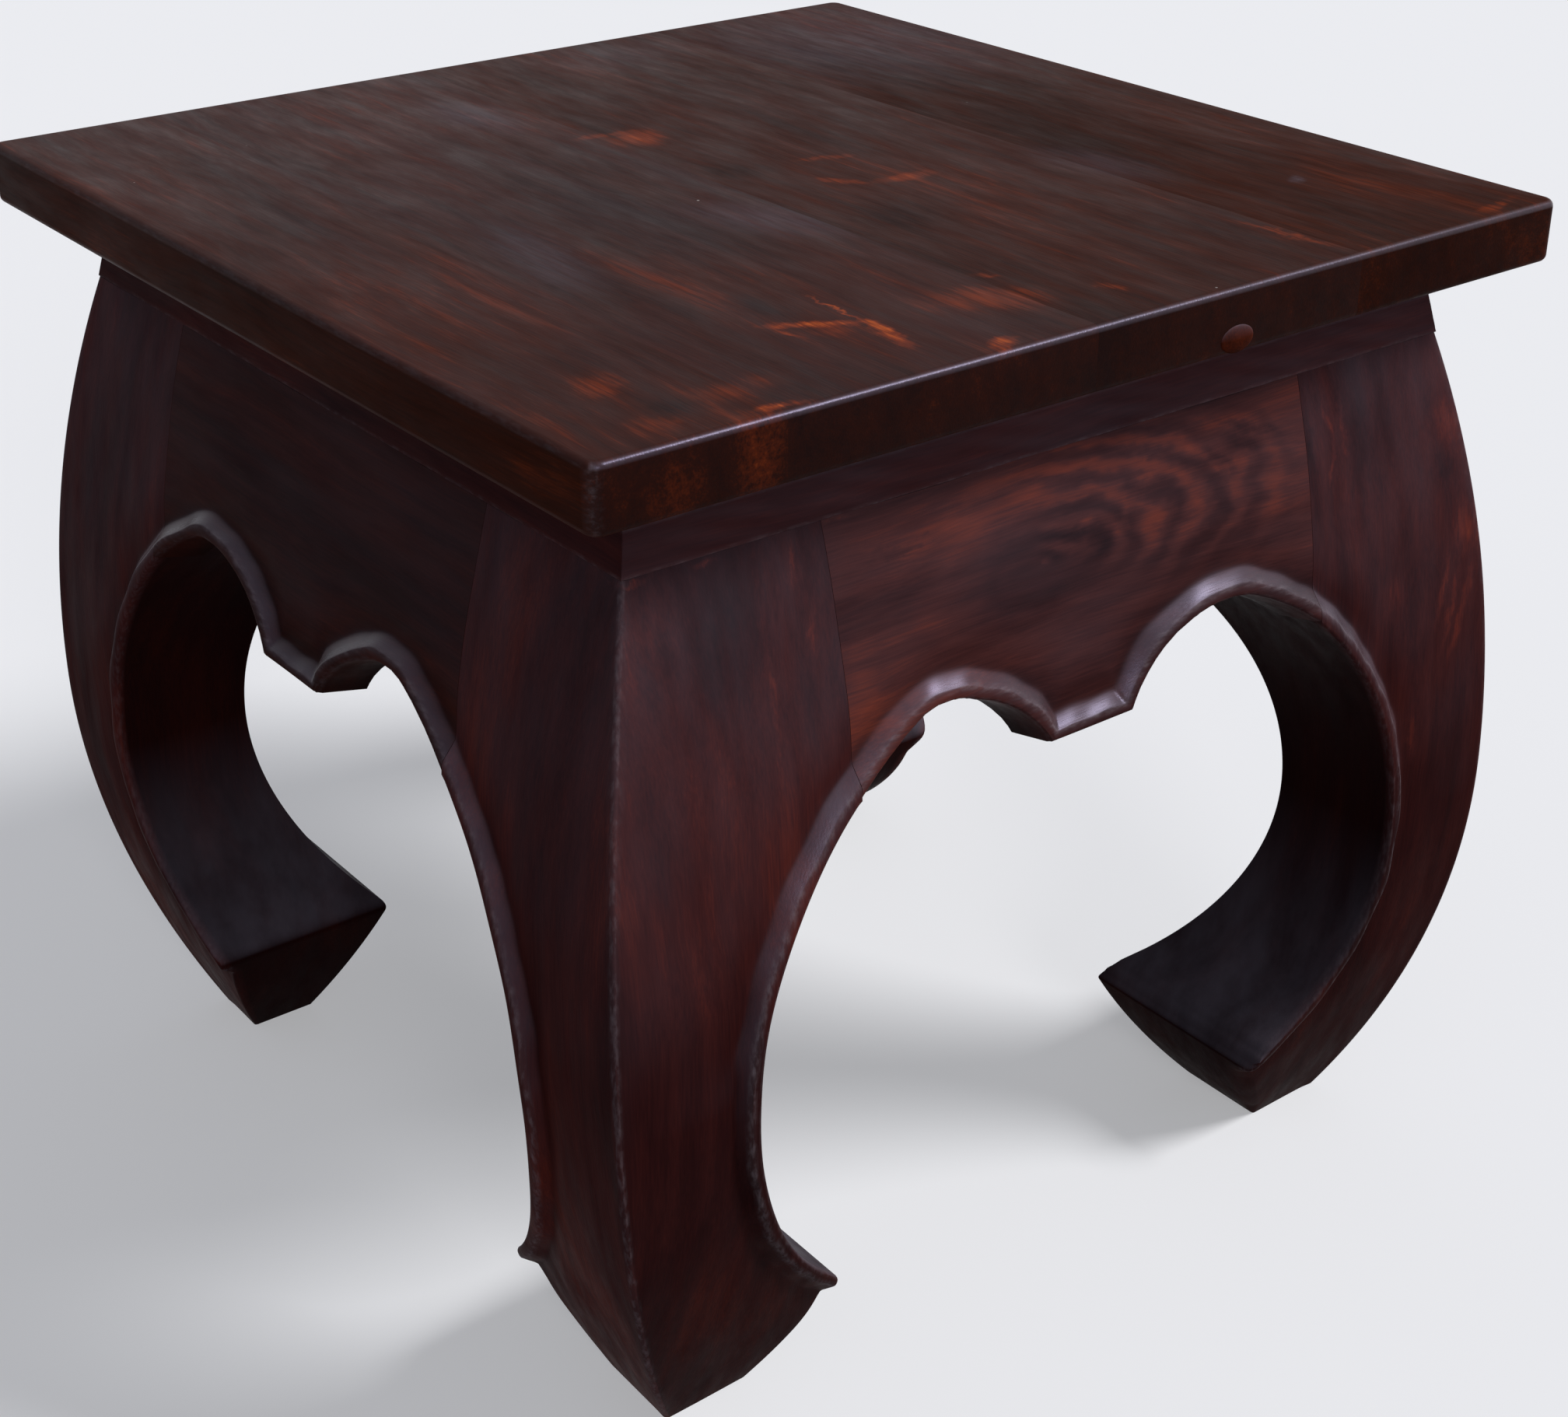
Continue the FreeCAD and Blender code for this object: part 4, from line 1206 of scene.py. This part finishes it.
@dataclass
class Aprons:
    """Four beaded aprons with a double arch and a flat pendant; sizes in millimetres."""

    curves: SideCurves = SideCurves()
    thickness: float = 17.0
    # The underside is sawn on a slope; this far out it lies at the height of the arch
    saw_slope: float = 0.2164
    saw_depth: float = 193.6
    seam_gap: float = 0.08
    # Distance between stations, room round the searched heights, and least rise from point to point
    spacing: float = 1.2
    height_margin: float = 1.0
    distance_margin: float = 2.0
    search_margin: float = 4.0
    least_rise: float = 0.03
    # Points on the plain field, the inside, the underside and the top of a section
    field_steps: int = 34
    inside_steps: int = 24
    under_steps: int = 12
    lid_steps: int = 7
    # Painted shade under the apron, from its inner to its outer edge
    under_painted_shade: Pair = (1.0, 0.3)
    # How dark the painted shade is where it is full
    painted_shade_strength: float = 0.8
    polish: float = 0.2
    # How far the carver of a side strayed along it, by place
    front_stray: Table = (
        (-103.0, 0.0), (-75.0, -3.0), (-46.0, -7.0), (-20.5, -4.2), (20.5, -9.0), (41.0, -8.0), (57.0, -6.5),
        (75.0, -3.0), (103.0, 0.0))
    left_stray: Table = (
        (-103.0, 0.0), (-60.0, 2.0), (-20.5, 5.0), (20.5, 0.2), (44.0, 4.4), (74.0, 1.0), (103.0, 0.0))
    knot: Knot = Knot(
        centre=(-21.0, -185.0, 291.0), squash=(0.4, 0.0, 1.0), heart=19.0, heart_fade=30.4, heart_tone=-0.16,
        reach=66.0, fade=39.6, spacing=7.4, weight=0.11, side=(0.85, 0.0, 0.53), sector=(0.2, 0.95),
        least=0.1, unevenness=Layer(26.0, 2.0), wobble=22.0)
    # Lighter and darker places round the knot of the front apron, and where its face lies
    stains: tuple[Mark, ...] = (
        ((-104, 308), (-22, 312), 11, 0.1), ((-90, 309), (-55, 309), 2, -0.12),
        ((-104, 323), (-92, 324), 1.2, 0.26), ((-97, 292), (-94, 262), 7, 0.06),
        ((12, 320), (48, 312), 2.2, 0.14), ((-14, 309), (10, 313), 6, -0.1),
        ((19, 308), (32, 305), 2.5, 0.12), ((16, 301), (18, 293), 3, 0.1),
        ((-1, 302), (1, 294), 3, 0.1), ((59, 320), (93, 307), 2.2, -0.16), ((64, 312), (82, 305), 2.2, -0.14),
        ((55, 310), (70, 299), 2.2, -0.14), ((78, 290), (100, 280), 14, 0.06))
    stain_depth: float = -185.0
    first_seed: int = 11
    slot: str = "apron_wood"

    def build(self) -> None:
        """Make each apron and dress it."""
        stations = self.stations()
        heights = self.heights(stations)
        for side in Side:
            node = "apron_" + side.name
            sections = [self.section(side, place, levels) for place, levels in zip(stations, heights)]
            piece = Skin.stacked(sections).build(node + "_carved")
            hand_over(piece, node, self.finish(side))

    def stations(self) -> np.ndarray:
        """Space the stations along an apron, with one on each corner of the pendant.

        Returns:
            Places of the stations.
        """
        reach = self.curves.seam - self.seam_gap
        corner = self.curves.pendant[0]
        outer = np.linspace(corner, reach, int((reach - corner) / self.spacing))
        middle = np.linspace(-corner, corner, int(2 * corner / self.spacing))
        return np.concatenate((-outer[::-1], middle[1:-1], outer))

    def heights(self, stations: np.ndarray) -> np.ndarray:
        """Return the height at each station of the lower edge and of each distance from it.

        Args:
            stations: Places along the apron.

        Returns:
            One row per station and one column per distance, for distances one step of the curves apart.
        """
        curves = self.curves
        line = curves.lower_line()
        line = np.vstack((line, line * np.array((-1.0, 1.0))))
        right = line[line[:, 0] >= 0.0]
        edge = right[np.argsort(right[:, 0])]
        widest = curves.columns[-1]
        grid = np.arange(curves.pendant[1] - self.height_margin, curves.head[1] + self.height_margin,
                         curves.step)
        wanted = np.arange(0.0, widest + self.distance_margin, curves.step)
        rows = []
        for place in stations:
            near = line[np.abs(line[:, 0] - place) < widest + self.search_margin]
            apart = np.hypot(near[:, 0] - place, grid[:, None] - near[:, 1]).min(axis=1)
            upward = grid >= np.interp(abs(place), edge[:, 0], edge[:, 1])
            rows.append(np.interp(wanted, np.maximum.accumulate(apart[upward]), grid[upward]))
        return np.array(rows)

    def sawn(self, level: float, out: np.ndarray) -> np.ndarray:
        """Return the heights of the sloping underside at distances out, by the height of the arch."""
        return level + (out - self.saw_depth) * self.saw_slope

    def section(self, side: Side, place: float, levels: np.ndarray) -> Section:
        """Lay a ring round an apron at one station.

        Args:
            side: Side of the table.
            place: Place of the station along it.
            levels: Heights there, by distance from the lower edge.

        Returns:
            The ring and its wear, painted shade and sheen.
        """
        curves = self.curves
        columns = np.array(curves.columns)
        known = np.arange(len(levels)) * curves.step
        top = curves.head[1] - self.seam_gap
        wander = curves.wander(place, np.interp(columns, known, levels), side.number)
        up = np.interp(columns + wander * curves.wander_share(columns), known, levels)
        edge = self.sawn(levels[0], curves.outer(levels[0]) + curves.bead_rise)
        up = np.maximum(up, edge + self.least_rise * np.arange(len(up)))
        up = np.concatenate((up, np.linspace(up[-1], top, self.field_steps)[1:]))
        distance = np.concatenate((columns, np.full(self.field_steps - 1, columns[-1])))
        out = curves.outer(up) + read(curves.bead, distance) - curves.hollow(place, up, side.number)
        out -= rounding(up - up[0], curves.edge_radius)
        back = np.linspace(top, edge, self.inside_steps)
        inside = curves.outer(back) - self.thickness
        back[-1] = self.sawn(levels[0], inside[-1])
        under = np.linspace(inside[-1], out[0], self.under_steps)[1:-1]
        lid = np.linspace(out[-1], inside[0], self.lid_steps)[1:-1]
        ring_out = np.concatenate((out, lid, inside, under))
        stray = self.front_stray if side.grain is Grain.ALONG_X else self.left_stray
        ring = (place + read(stray, place)) * np.array(side.along) + ring_out[:, None] * np.array(side.out)
        ring[:, 2] = np.concatenate((up, np.full(len(lid), top), back, self.sawn(levels[0], under)))
        plain = np.zeros(len(ring_out) - len(columns))
        # Painted shade: at the foot of the bead, full on the top and inside, fading across the underside
        painted_shade = np.concatenate((read(curves.painted_shade, distance), np.ones(len(lid) + len(inside)),
                               np.linspace(*self.under_painted_shade, len(under))))
        return ring, {WEAR: np.concatenate((read(curves.rub, columns), plain)), PAINTED_SHADE_KEY: painted_shade,
                      SHEEN: np.concatenate((read(curves.polish, columns), plain))}

    def finish(self, side: Side) -> StainedWood:
        """Choose the finish of one apron: the front one has a knot.

        Args:
            side: Side of the table.

        Returns:
            The finish.
        """
        # The left and right aprons take the darker copy of the colours: painted shade
        stops = APRON_STOPS if side.grain is Grain.ALONG_X else PAINTED_SHADE_STOPS
        plain = StainedWood("stained_rosewood_apron_" + side.name, side.grain,
                            seed_of(side.number + self.first_seed), stops, STREAKS,
                            ring_way=RING_WAYS[side.grain], painted_shade_strength=self.painted_shade_strength,
                            polish=self.polish)
        if side is not Side.front:
            return plain
        stains = tuple(stroke(mark, Turn.ABOUT_Y, self.stain_depth) for mark in self.stains)
        return replace(plain, knot=self.knot, patches=stains)


@dataclass(frozen=True)
class Foot:
    """Foot of one leg: toe, inner end of the sole, round between them, lean at the floor and its turn."""

    toe: Pair
    sole: float
    cut_radius: float
    lean: Point = (0.0, 0.0, 0.0)
    turn: float = 0.0


@dataclass(frozen=True)
class LegFace:
    """One outer face of a leg at a height, from its beaded edge to the arris."""

    along: np.ndarray
    out: np.ndarray
    numbers: dict[str, np.ndarray]


@dataclass
class Legs:
    """Four heavy crescent legs of square section, beaded down to the toe; sizes in millimetres."""

    corners: tuple[tuple[Side, Side], ...] = (
        (Side.front, Side.left), (Side.front, Side.right), (Side.back, Side.right), (Side.back, Side.left))
    curves: SideCurves = SideCurves()
    # One foot for each corner, as its carver left it
    feet: tuple[Foot, ...] = (
        Foot((101.5, 45.0), 128.0, 120.0, (2.3, -1.8, 0.0), 0.003),
        Foot((97.5, 47.0), 127.0, 160.0, (2.0, -3.6, 0.0)),
        Foot((102.5, 45.0), 136.5, 60.0),
        Foot((109.0, 54.0), 136.5, 400.0))
    lean_height: float = 220.0
    # Furthest that a leg may stand out from the middle of the table
    reach: float = 202.4
    seam_gap: float = 0.08
    # Sections of the foot and of the leg over it, and points on the field, the arris and each inner face
    foot_rows: int = 52
    leg_rows: int = 187
    field_steps: int = 30
    arris_steps: int = 6
    inner_steps: int = 20
    # Least distance between points on a face
    spacing: float = 0.03
    foot_spacing: float = 0.25
    arris_radius: float = 1.8
    # Wear beside the arris, and how far past its round it reaches
    arris_wear: float = 0.3
    arris_margin: float = 0.3
    # Distances from the arris that the hollowing of the face grows between
    hollow_start: Pair = (1.0, 8.0)
    # Rounding of the edges between inner and outer faces, by height: the foot is chamfered under the toe
    edge_radii: Table = ((0.0, 1.2), (7.0, 5.5), (34.0, 6.5), (43.0, 3.5), (50.0, 1.3))
    # Heights that the sheen of the bead fades out between
    sheen_heights: Pair = (110.0, 225.0)
    # How dark the painted shade is on the chamfer under the toe
    toe_chamfer_painted_shade: float = 0.6
    # How dark the painted shade is low on the front and back faces, and the heights that it fades out
    # between: the legs are darker towards the floor
    low_painted_shade: float = 0.85
    painted_shade_heights: Pair = (-20.0, 330.0)
    # Painted sheen on faces that look up
    painted_sheen_up: float = 0.16
    # How dark the painted shade is where it is full
    painted_shade_strength: float = 0.8
    polish: float = 0.2
    # Lighter and darker streaks on the front faces of the two front legs
    left_stains: tuple[Mark, ...] = (
        ((-150, 323), (-142, 323), 1.0, 0.22), ((-176, 323), (-165, 323), 0.9, 0.2),
        ((-174, 322), (-178, 281), 5, 0.13), ((-166, 323), (-168, 297), 3.5, 0.1),
        ((-129, 310), (-130, 245), 1.5, 0.12), ((-115, 323), (-118, 306), 1.3, 0.12),
        ((-111, 305), (-113, 283), 1.6, 0.12), ((-141, 316), (-150, 278), 13, -0.1),
        ((-192, 267), (-195, 247), 5, 0.08))
    right_stains: tuple[Mark, ...] = (
        ((177, 262), (188, 244), 8, 0.15), ((174, 246), (168, 218), 2.2, 0.13),
        ((188, 238), (175, 201), 2.4, 0.14), ((181, 240), (171, 208), 1.4, 0.1),
        ((144, 245), (147, 228), 7, 0.13), ((176, 301), (176, 284), 8, 0.1),
        ((113, 314), (117.5, 297), 1.3, 0.14), ((117.5, 297), (113, 284), 1.3, 0.14),
        ((121, 312), (123, 290), 1.2, 0.1), ((104, 311), (105, 283), 2.5, -0.14),
        ((130, 312), (128.5, 266), 5, -0.1), ((162, 278), (181, 276), 6, -0.1),
        ((156, 190), (160, 168), 2.5, 0.12))
    first_seed: int = 21
    slot: str = "leg_wood"

    def build(self) -> None:
        """Make each leg and dress it."""
        stains = (self.left_stains, self.right_stains, (), ())
        for number, (corner, foot, marks) in enumerate(zip(self.corners, self.feet, stains)):
            node = f"leg_{corner[0].name}_{corner[1].name}"
            piece = self.skin(corner, foot).build(node + "_carved")
            depths = [-float(self.curves.outer(start[1])) for start, *_ in marks]
            patches = tuple(stroke(mark, Turn.ABOUT_Y, depth) for mark, depth in zip(marks, depths))
            finish = StainedWood(f"stained_rosewood_{node}", Grain.ALONG_Z, seed_of(number + self.first_seed),
                                 LEG_STOPS, STREAKS, ring_way=RING_WAYS[Grain.ALONG_Z], painted_sheen_up=self.painted_sheen_up,
                                 painted_shade_strength=self.painted_shade_strength, polish=self.polish, patches=patches)
            hand_over(piece, node, finish)

    def skin(self, corner: tuple[Side, Side], foot: Foot) -> Skin:
        """Stack sections of a leg from the sole to the collar, closer together at the foot.

        Args:
            corner: The two sides that meet at the leg.
            foot: Foot of the leg.

        Returns:
            Rings of the leg.
        """
        curves = replace(self.curves, toe=foot.toe, toe_cut_radius=foot.cut_radius,
                         sole=(foot.sole, self.curves.sole[1]))
        low = np.linspace(0.0, curves.toe[1], self.foot_rows)
        high = np.linspace(curves.toe[1], curves.head[1] - self.seam_gap, self.leg_rows)[1:]
        heights = np.concatenate((low, high))
        return Skin.stacked([self.section(curves, corner, foot, height) for height in heights])

    def section(self, curves: SideCurves, corner: tuple[Side, Side], foot: Foot, height: float) -> Section:
        """Lay a ring round a leg at a height.

        Args:
            curves: Curves of the leg.
            corner: The two sides that meet at the leg.
            foot: Foot of the leg.
            height: Height of the section.

        Returns:
            The ring and its wear, painted shade and sheen.
        """
        first, second = corner
        near = self.face(curves, height, first, second)
        far = self.face(curves, height, second, first)
        turn = np.linspace(0.0, math.pi / 2, self.arris_steps)[1:-1]
        heart = curves.outer(height) - self.arris_radius
        inside = near.along[0] + (far.out[0] - far.along[0]) * np.linspace(1.0, 0.0, self.inner_steps)[1:-1]
        behind = far.along[0] + (near.out[0] - far.along[0]) * np.linspace(0.0, 1.0, self.inner_steps)[:-1]
        across = np.concatenate((near.along, heart + self.arris_radius * np.sin(turn), far.out[::-1], inside,
                                 np.full(len(behind), near.along[0])))
        deep = np.concatenate((near.out, heart + self.arris_radius * np.cos(turn), far.along[::-1],
                               np.full(len(inside), far.along[0]), behind))
        ring = across[:, None] * np.array(second.out) + deep[:, None] * np.array(first.out)
        ring[:, 2] = height
        turned = 1.0 - foot.turn * (ring[:, 0] - ring[:, 1])
        ring += (1.0 - smooth_step(height, 0.0, self.lean_height)) * turned[:, None] * np.array(foot.lean)
        ring = np.clip(ring, -self.reach, (self.reach, self.reach, curves.head[1]))
        hidden = len(inside) + len(behind)
        # Values on the arris and on the inner faces, which take the full painted shade
        plain = {WEAR: (1.0, 0.0), PAINTED_SHADE_KEY: (0.0, 1.0), SHEEN: (0.0, 0.0)}
        return ring, {name: np.concatenate((near.numbers[name], np.full(len(turn), arris),
                                            far.numbers[name][::-1], np.full(hidden, inner)))
                      for name, (arris, inner) in plain.items()}

    def face(self, curves: SideCurves, height: float, side: Side, other: Side) -> LegFace:
        """Shape one outer face of a leg at a height.

        Args:
            curves: Curves of the leg.
            height: Height of the section.
            side: Side of the table that the face belongs to.
            other: The other side that meets at the leg.

        Returns:
            The face with its wear, painted shade and sheen.
        """
        way = float(np.sign(other.out.dot(side.along)))
        columns = np.array(curves.columns)
        steps = np.arange(len(columns))
        inner = curves.inner(height)
        outer = curves.outer(height)
        in_foot = height < curves.toe[1]
        seamed = inner <= curves.seam and height > curves.toe[1]
        if seamed:
            inner += self.seam_gap
        wander = curves.wander(way * curves.offset_line(height, columns), height, side.number)
        along = curves.offset_line(height, columns + wander * curves.wander_share(columns))
        along = np.maximum(along, inner + (self.foot_spacing if in_foot else self.spacing) * steps)
        last = outer - self.arris_radius
        along = np.minimum(along, last - self.spacing * steps[::-1])
        distance = np.maximum(curves.edge_distance(along, height), 0.0)
        wander = curves.wander(way * along, height, side.number)
        distance = np.maximum(distance - wander * curves.wander_share(distance), 0.0)
        field = np.linspace(along[-1], last, self.field_steps)[1:]
        rest = np.linspace(distance[-1], max(columns[-1], distance[-1]), self.field_steps)[1:]
        along = np.concatenate((along, field))
        distance = np.concatenate((distance, rest))
        hollow = curves.hollow(way * along, height, side.number)
        out = outer + read(curves.bead, distance) - hollow * smooth_step(outer - along, *self.hollow_start)
        radius = read(self.edge_radii, height) if way > 0 else curves.edge_radius
        if not seamed:
            out -= rounding(along - along[0], radius)
        wear = read(curves.rub, distance)
        beside_arris = outer - field < self.arris_radius + self.arris_margin
        wear[len(columns):] = np.where(beside_arris, self.arris_wear, 0.0)
        # Painted shade: in the groove beside the bead, on the chamfer under the toe, and low on the front and
        # back faces
        painted_shade = read(curves.painted_shade, distance)
        if in_foot:
            painted_shade = np.where(along - along[0] < radius, np.maximum(painted_shade, self.toe_chamfer_painted_shade), painted_shade)
        if side.grain is Grain.ALONG_X:
            painted_shade = np.maximum(painted_shade, self.low_painted_shade * (1.0 - smooth_step(height, *self.painted_shade_heights)))
        sheen = read(curves.polish, distance) * smooth_step(height, *self.sheen_heights)
        return LegFace(along, out, {WEAR: wear, PAINTED_SHADE_KEY: painted_shade, SHEEN: sheen})


@dataclass
class Fittings:
    """Plug, filed to an uneven oval; dowels and screws, which keep the shapes of their solids."""

    plug_place: Point = (42.7 * MM, -200.0 * MM, 356.9 * MM)
    plug_half: Point = (7.2 * MM, 0.9 * MM, 4.6 * MM)
    plug_depth: float = 11.0 * MM
    plug_segments: int = 40
    plug_rings: int = 24
    # Painted sheen on faces of the plug that look up
    plug_painted_sheen_up: float = 0.2
    plug_seed: int = 31
    plug_slot: str = "plug_wood"
    dowel_seed: int = 32

    def build(self) -> None:
        """Make the plug and dress the small solids."""
        self.plug()
        raw = StainedWood("raw_beech_dowel", Grain.ALONG_X, seed_of(self.dowel_seed), BEECH_STOPS, STREAKS,
                          worn=False).material()
        self.dress("apron_dowels", raw)
        self.dress("collar_dowels", raw)
        self.dress("top_screws", ZincPlate().material())

    def plug(self) -> None:
        """File the proud end of the plug to a flat oval dome and run its peg into the board."""
        bpy.ops.object.select_all(action="DESELECT")
        bpy.ops.mesh.primitive_uv_sphere_add(segments=self.plug_segments, ring_count=self.plug_rings,
                                             radius=1.0, location=self.plug_place, scale=self.plug_half)
        plug = bpy.context.object
        plug.name = "edge_plug_filed"
        bpy.ops.object.transform_apply(location=True, rotation=True, scale=True)
        bpy.ops.object.mode_set(mode="EDIT")
        bpy.ops.mesh.select_all(action="SELECT")
        bpy.ops.mesh.bisect(plane_co=self.plug_place, plane_no=(0.0, 1.0, 0.0), clear_outer=True)
        bpy.ops.mesh.extrude_region_move(TRANSFORM_OT_translate={"value": (0.0, self.plug_depth, 0.0)})
        bpy.ops.mesh.edge_face_add()
        bpy.ops.mesh.select_all(action="SELECT")
        bpy.ops.mesh.normals_make_consistent(inside=False)
        bpy.ops.object.mode_set(mode="OBJECT")
        finish = StainedWood("oiled_end_grain_plug", Grain.ALONG_Y, seed_of(self.plug_seed), PLUG_STOPS,
                             STREAKS, worn=False, painted_sheen_up=self.plug_painted_sheen_up)
        hand_over(plug, "edge_plug", finish)

    def dress(self, node: str, made: bpy.types.Material) -> None:
        """Give a solid its material.

        Args:
            node: Name of the solid.
            made: Material of the solid.
        """
        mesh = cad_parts[node].data
        mesh.materials.clear()
        mesh.materials.append(made)
        LOG.info("%s: dressed", node)


@dataclass
class Studio:
    """Pale floor, soft light and the camera."""

    eye: Point = (-0.53468, -0.71876, 0.62291)
    target: Point = (0.0, -0.0223, 0.1665)
    lens: float = 58.56
    sensor: float = 36.0
    nearest: float = 0.01
    floor_radius: float = 6.0
    floor_edges: int = 96
    key_from: Point = (0.54, -0.46, 0.70)
    key_power: float = 3.1
    window_from: Point = (-0.31, -0.86, 0.38)
    window_power: float = 0.75
    spread: float = 18.0
    world_colour: str = "#e2e9fa"
    world_strength: float = 0.28
    backdrop_colour: str = "#e8e9ed"

    def build(self) -> None:
        """Set the camera, the floor and the lights."""
        scene = bpy.context.scene
        scene.view_settings.view_transform = "Standard"
        self.camera(scene)
        self.floor()
        self.light("softbox", self.key_from, self.key_power)
        self.light("window", self.window_from, self.window_power)
        self.surroundings(scene)

    def camera(self, scene: bpy.types.Scene) -> None:
        """Set the camera where the photographer stood.

        Args:
            scene: Scene that looks through it.
        """
        data = bpy.data.cameras.new("camera")
        data.lens = self.lens
        data.sensor_width = self.sensor
        data.sensor_fit = "HORIZONTAL"
        data.clip_start = self.nearest
        camera = bpy.data.objects.new("camera", data)
        camera.location = self.eye
        camera.rotation_euler = (Vector(self.target) - Vector(self.eye)).to_track_quat("-Z", "Y").to_euler()
        scene.collection.objects.link(camera)
        scene.camera = camera

    def floor(self) -> None:
        """Lay the pale floor."""
        bpy.ops.object.select_all(action="DESELECT")
        bpy.ops.mesh.primitive_circle_add(vertices=self.floor_edges, radius=self.floor_radius,
                                          fill_type="NGON")
        floor = bpy.context.object
        floor.name = "floor"
        floor.data.materials.append(MattPaper().material())

    def light(self, name: str, source: Point, power: float) -> None:
        """Hang a wide, far light.

        Args:
            name: Name of the light.
            source: Direction that it shines from.
            power: Strength of the light.
        """
        data = bpy.data.lights.new(name, "SUN")
        data.angle = math.radians(self.spread)
        data.energy = power
        lamp = bpy.data.objects.new(name, data)
        lamp.location = source
        lamp.rotation_euler = (-Vector(source)).to_track_quat("-Z", "Y").to_euler()
        bpy.context.scene.collection.objects.link(lamp)

    def surroundings(self, scene: bpy.types.Scene) -> None:
        """Fill the room with dim, slightly cool light, and let it show as a pale backdrop.

        Args:
            scene: Scene that takes the light.
        """
        world = bpy.data.worlds.new("studio")
        nodes = Nodes(world)
        dim = nodes.add("Background", {"Color": linear(self.world_colour), "Strength": self.world_strength})
        pale = nodes.add("Background", {"Color": linear(self.backdrop_colour)})
        mixed = nodes.add("MixShader", {0: backdrop_rays(nodes), 1: dim, 2: pale})
        nodes.add("OutputWorld", {"Surface": mixed})
        scene.world = world


def main() -> None:
    """Build the table and its studio."""
    logging.basicConfig(level=logging.INFO, format="%(message)s")
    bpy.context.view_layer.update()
    Studio().build()
    TableTop().build()
    Collar().build()
    Aprons().build()
    Legs().build()
    Fittings().build()


if __name__ == "__main__":
    main()
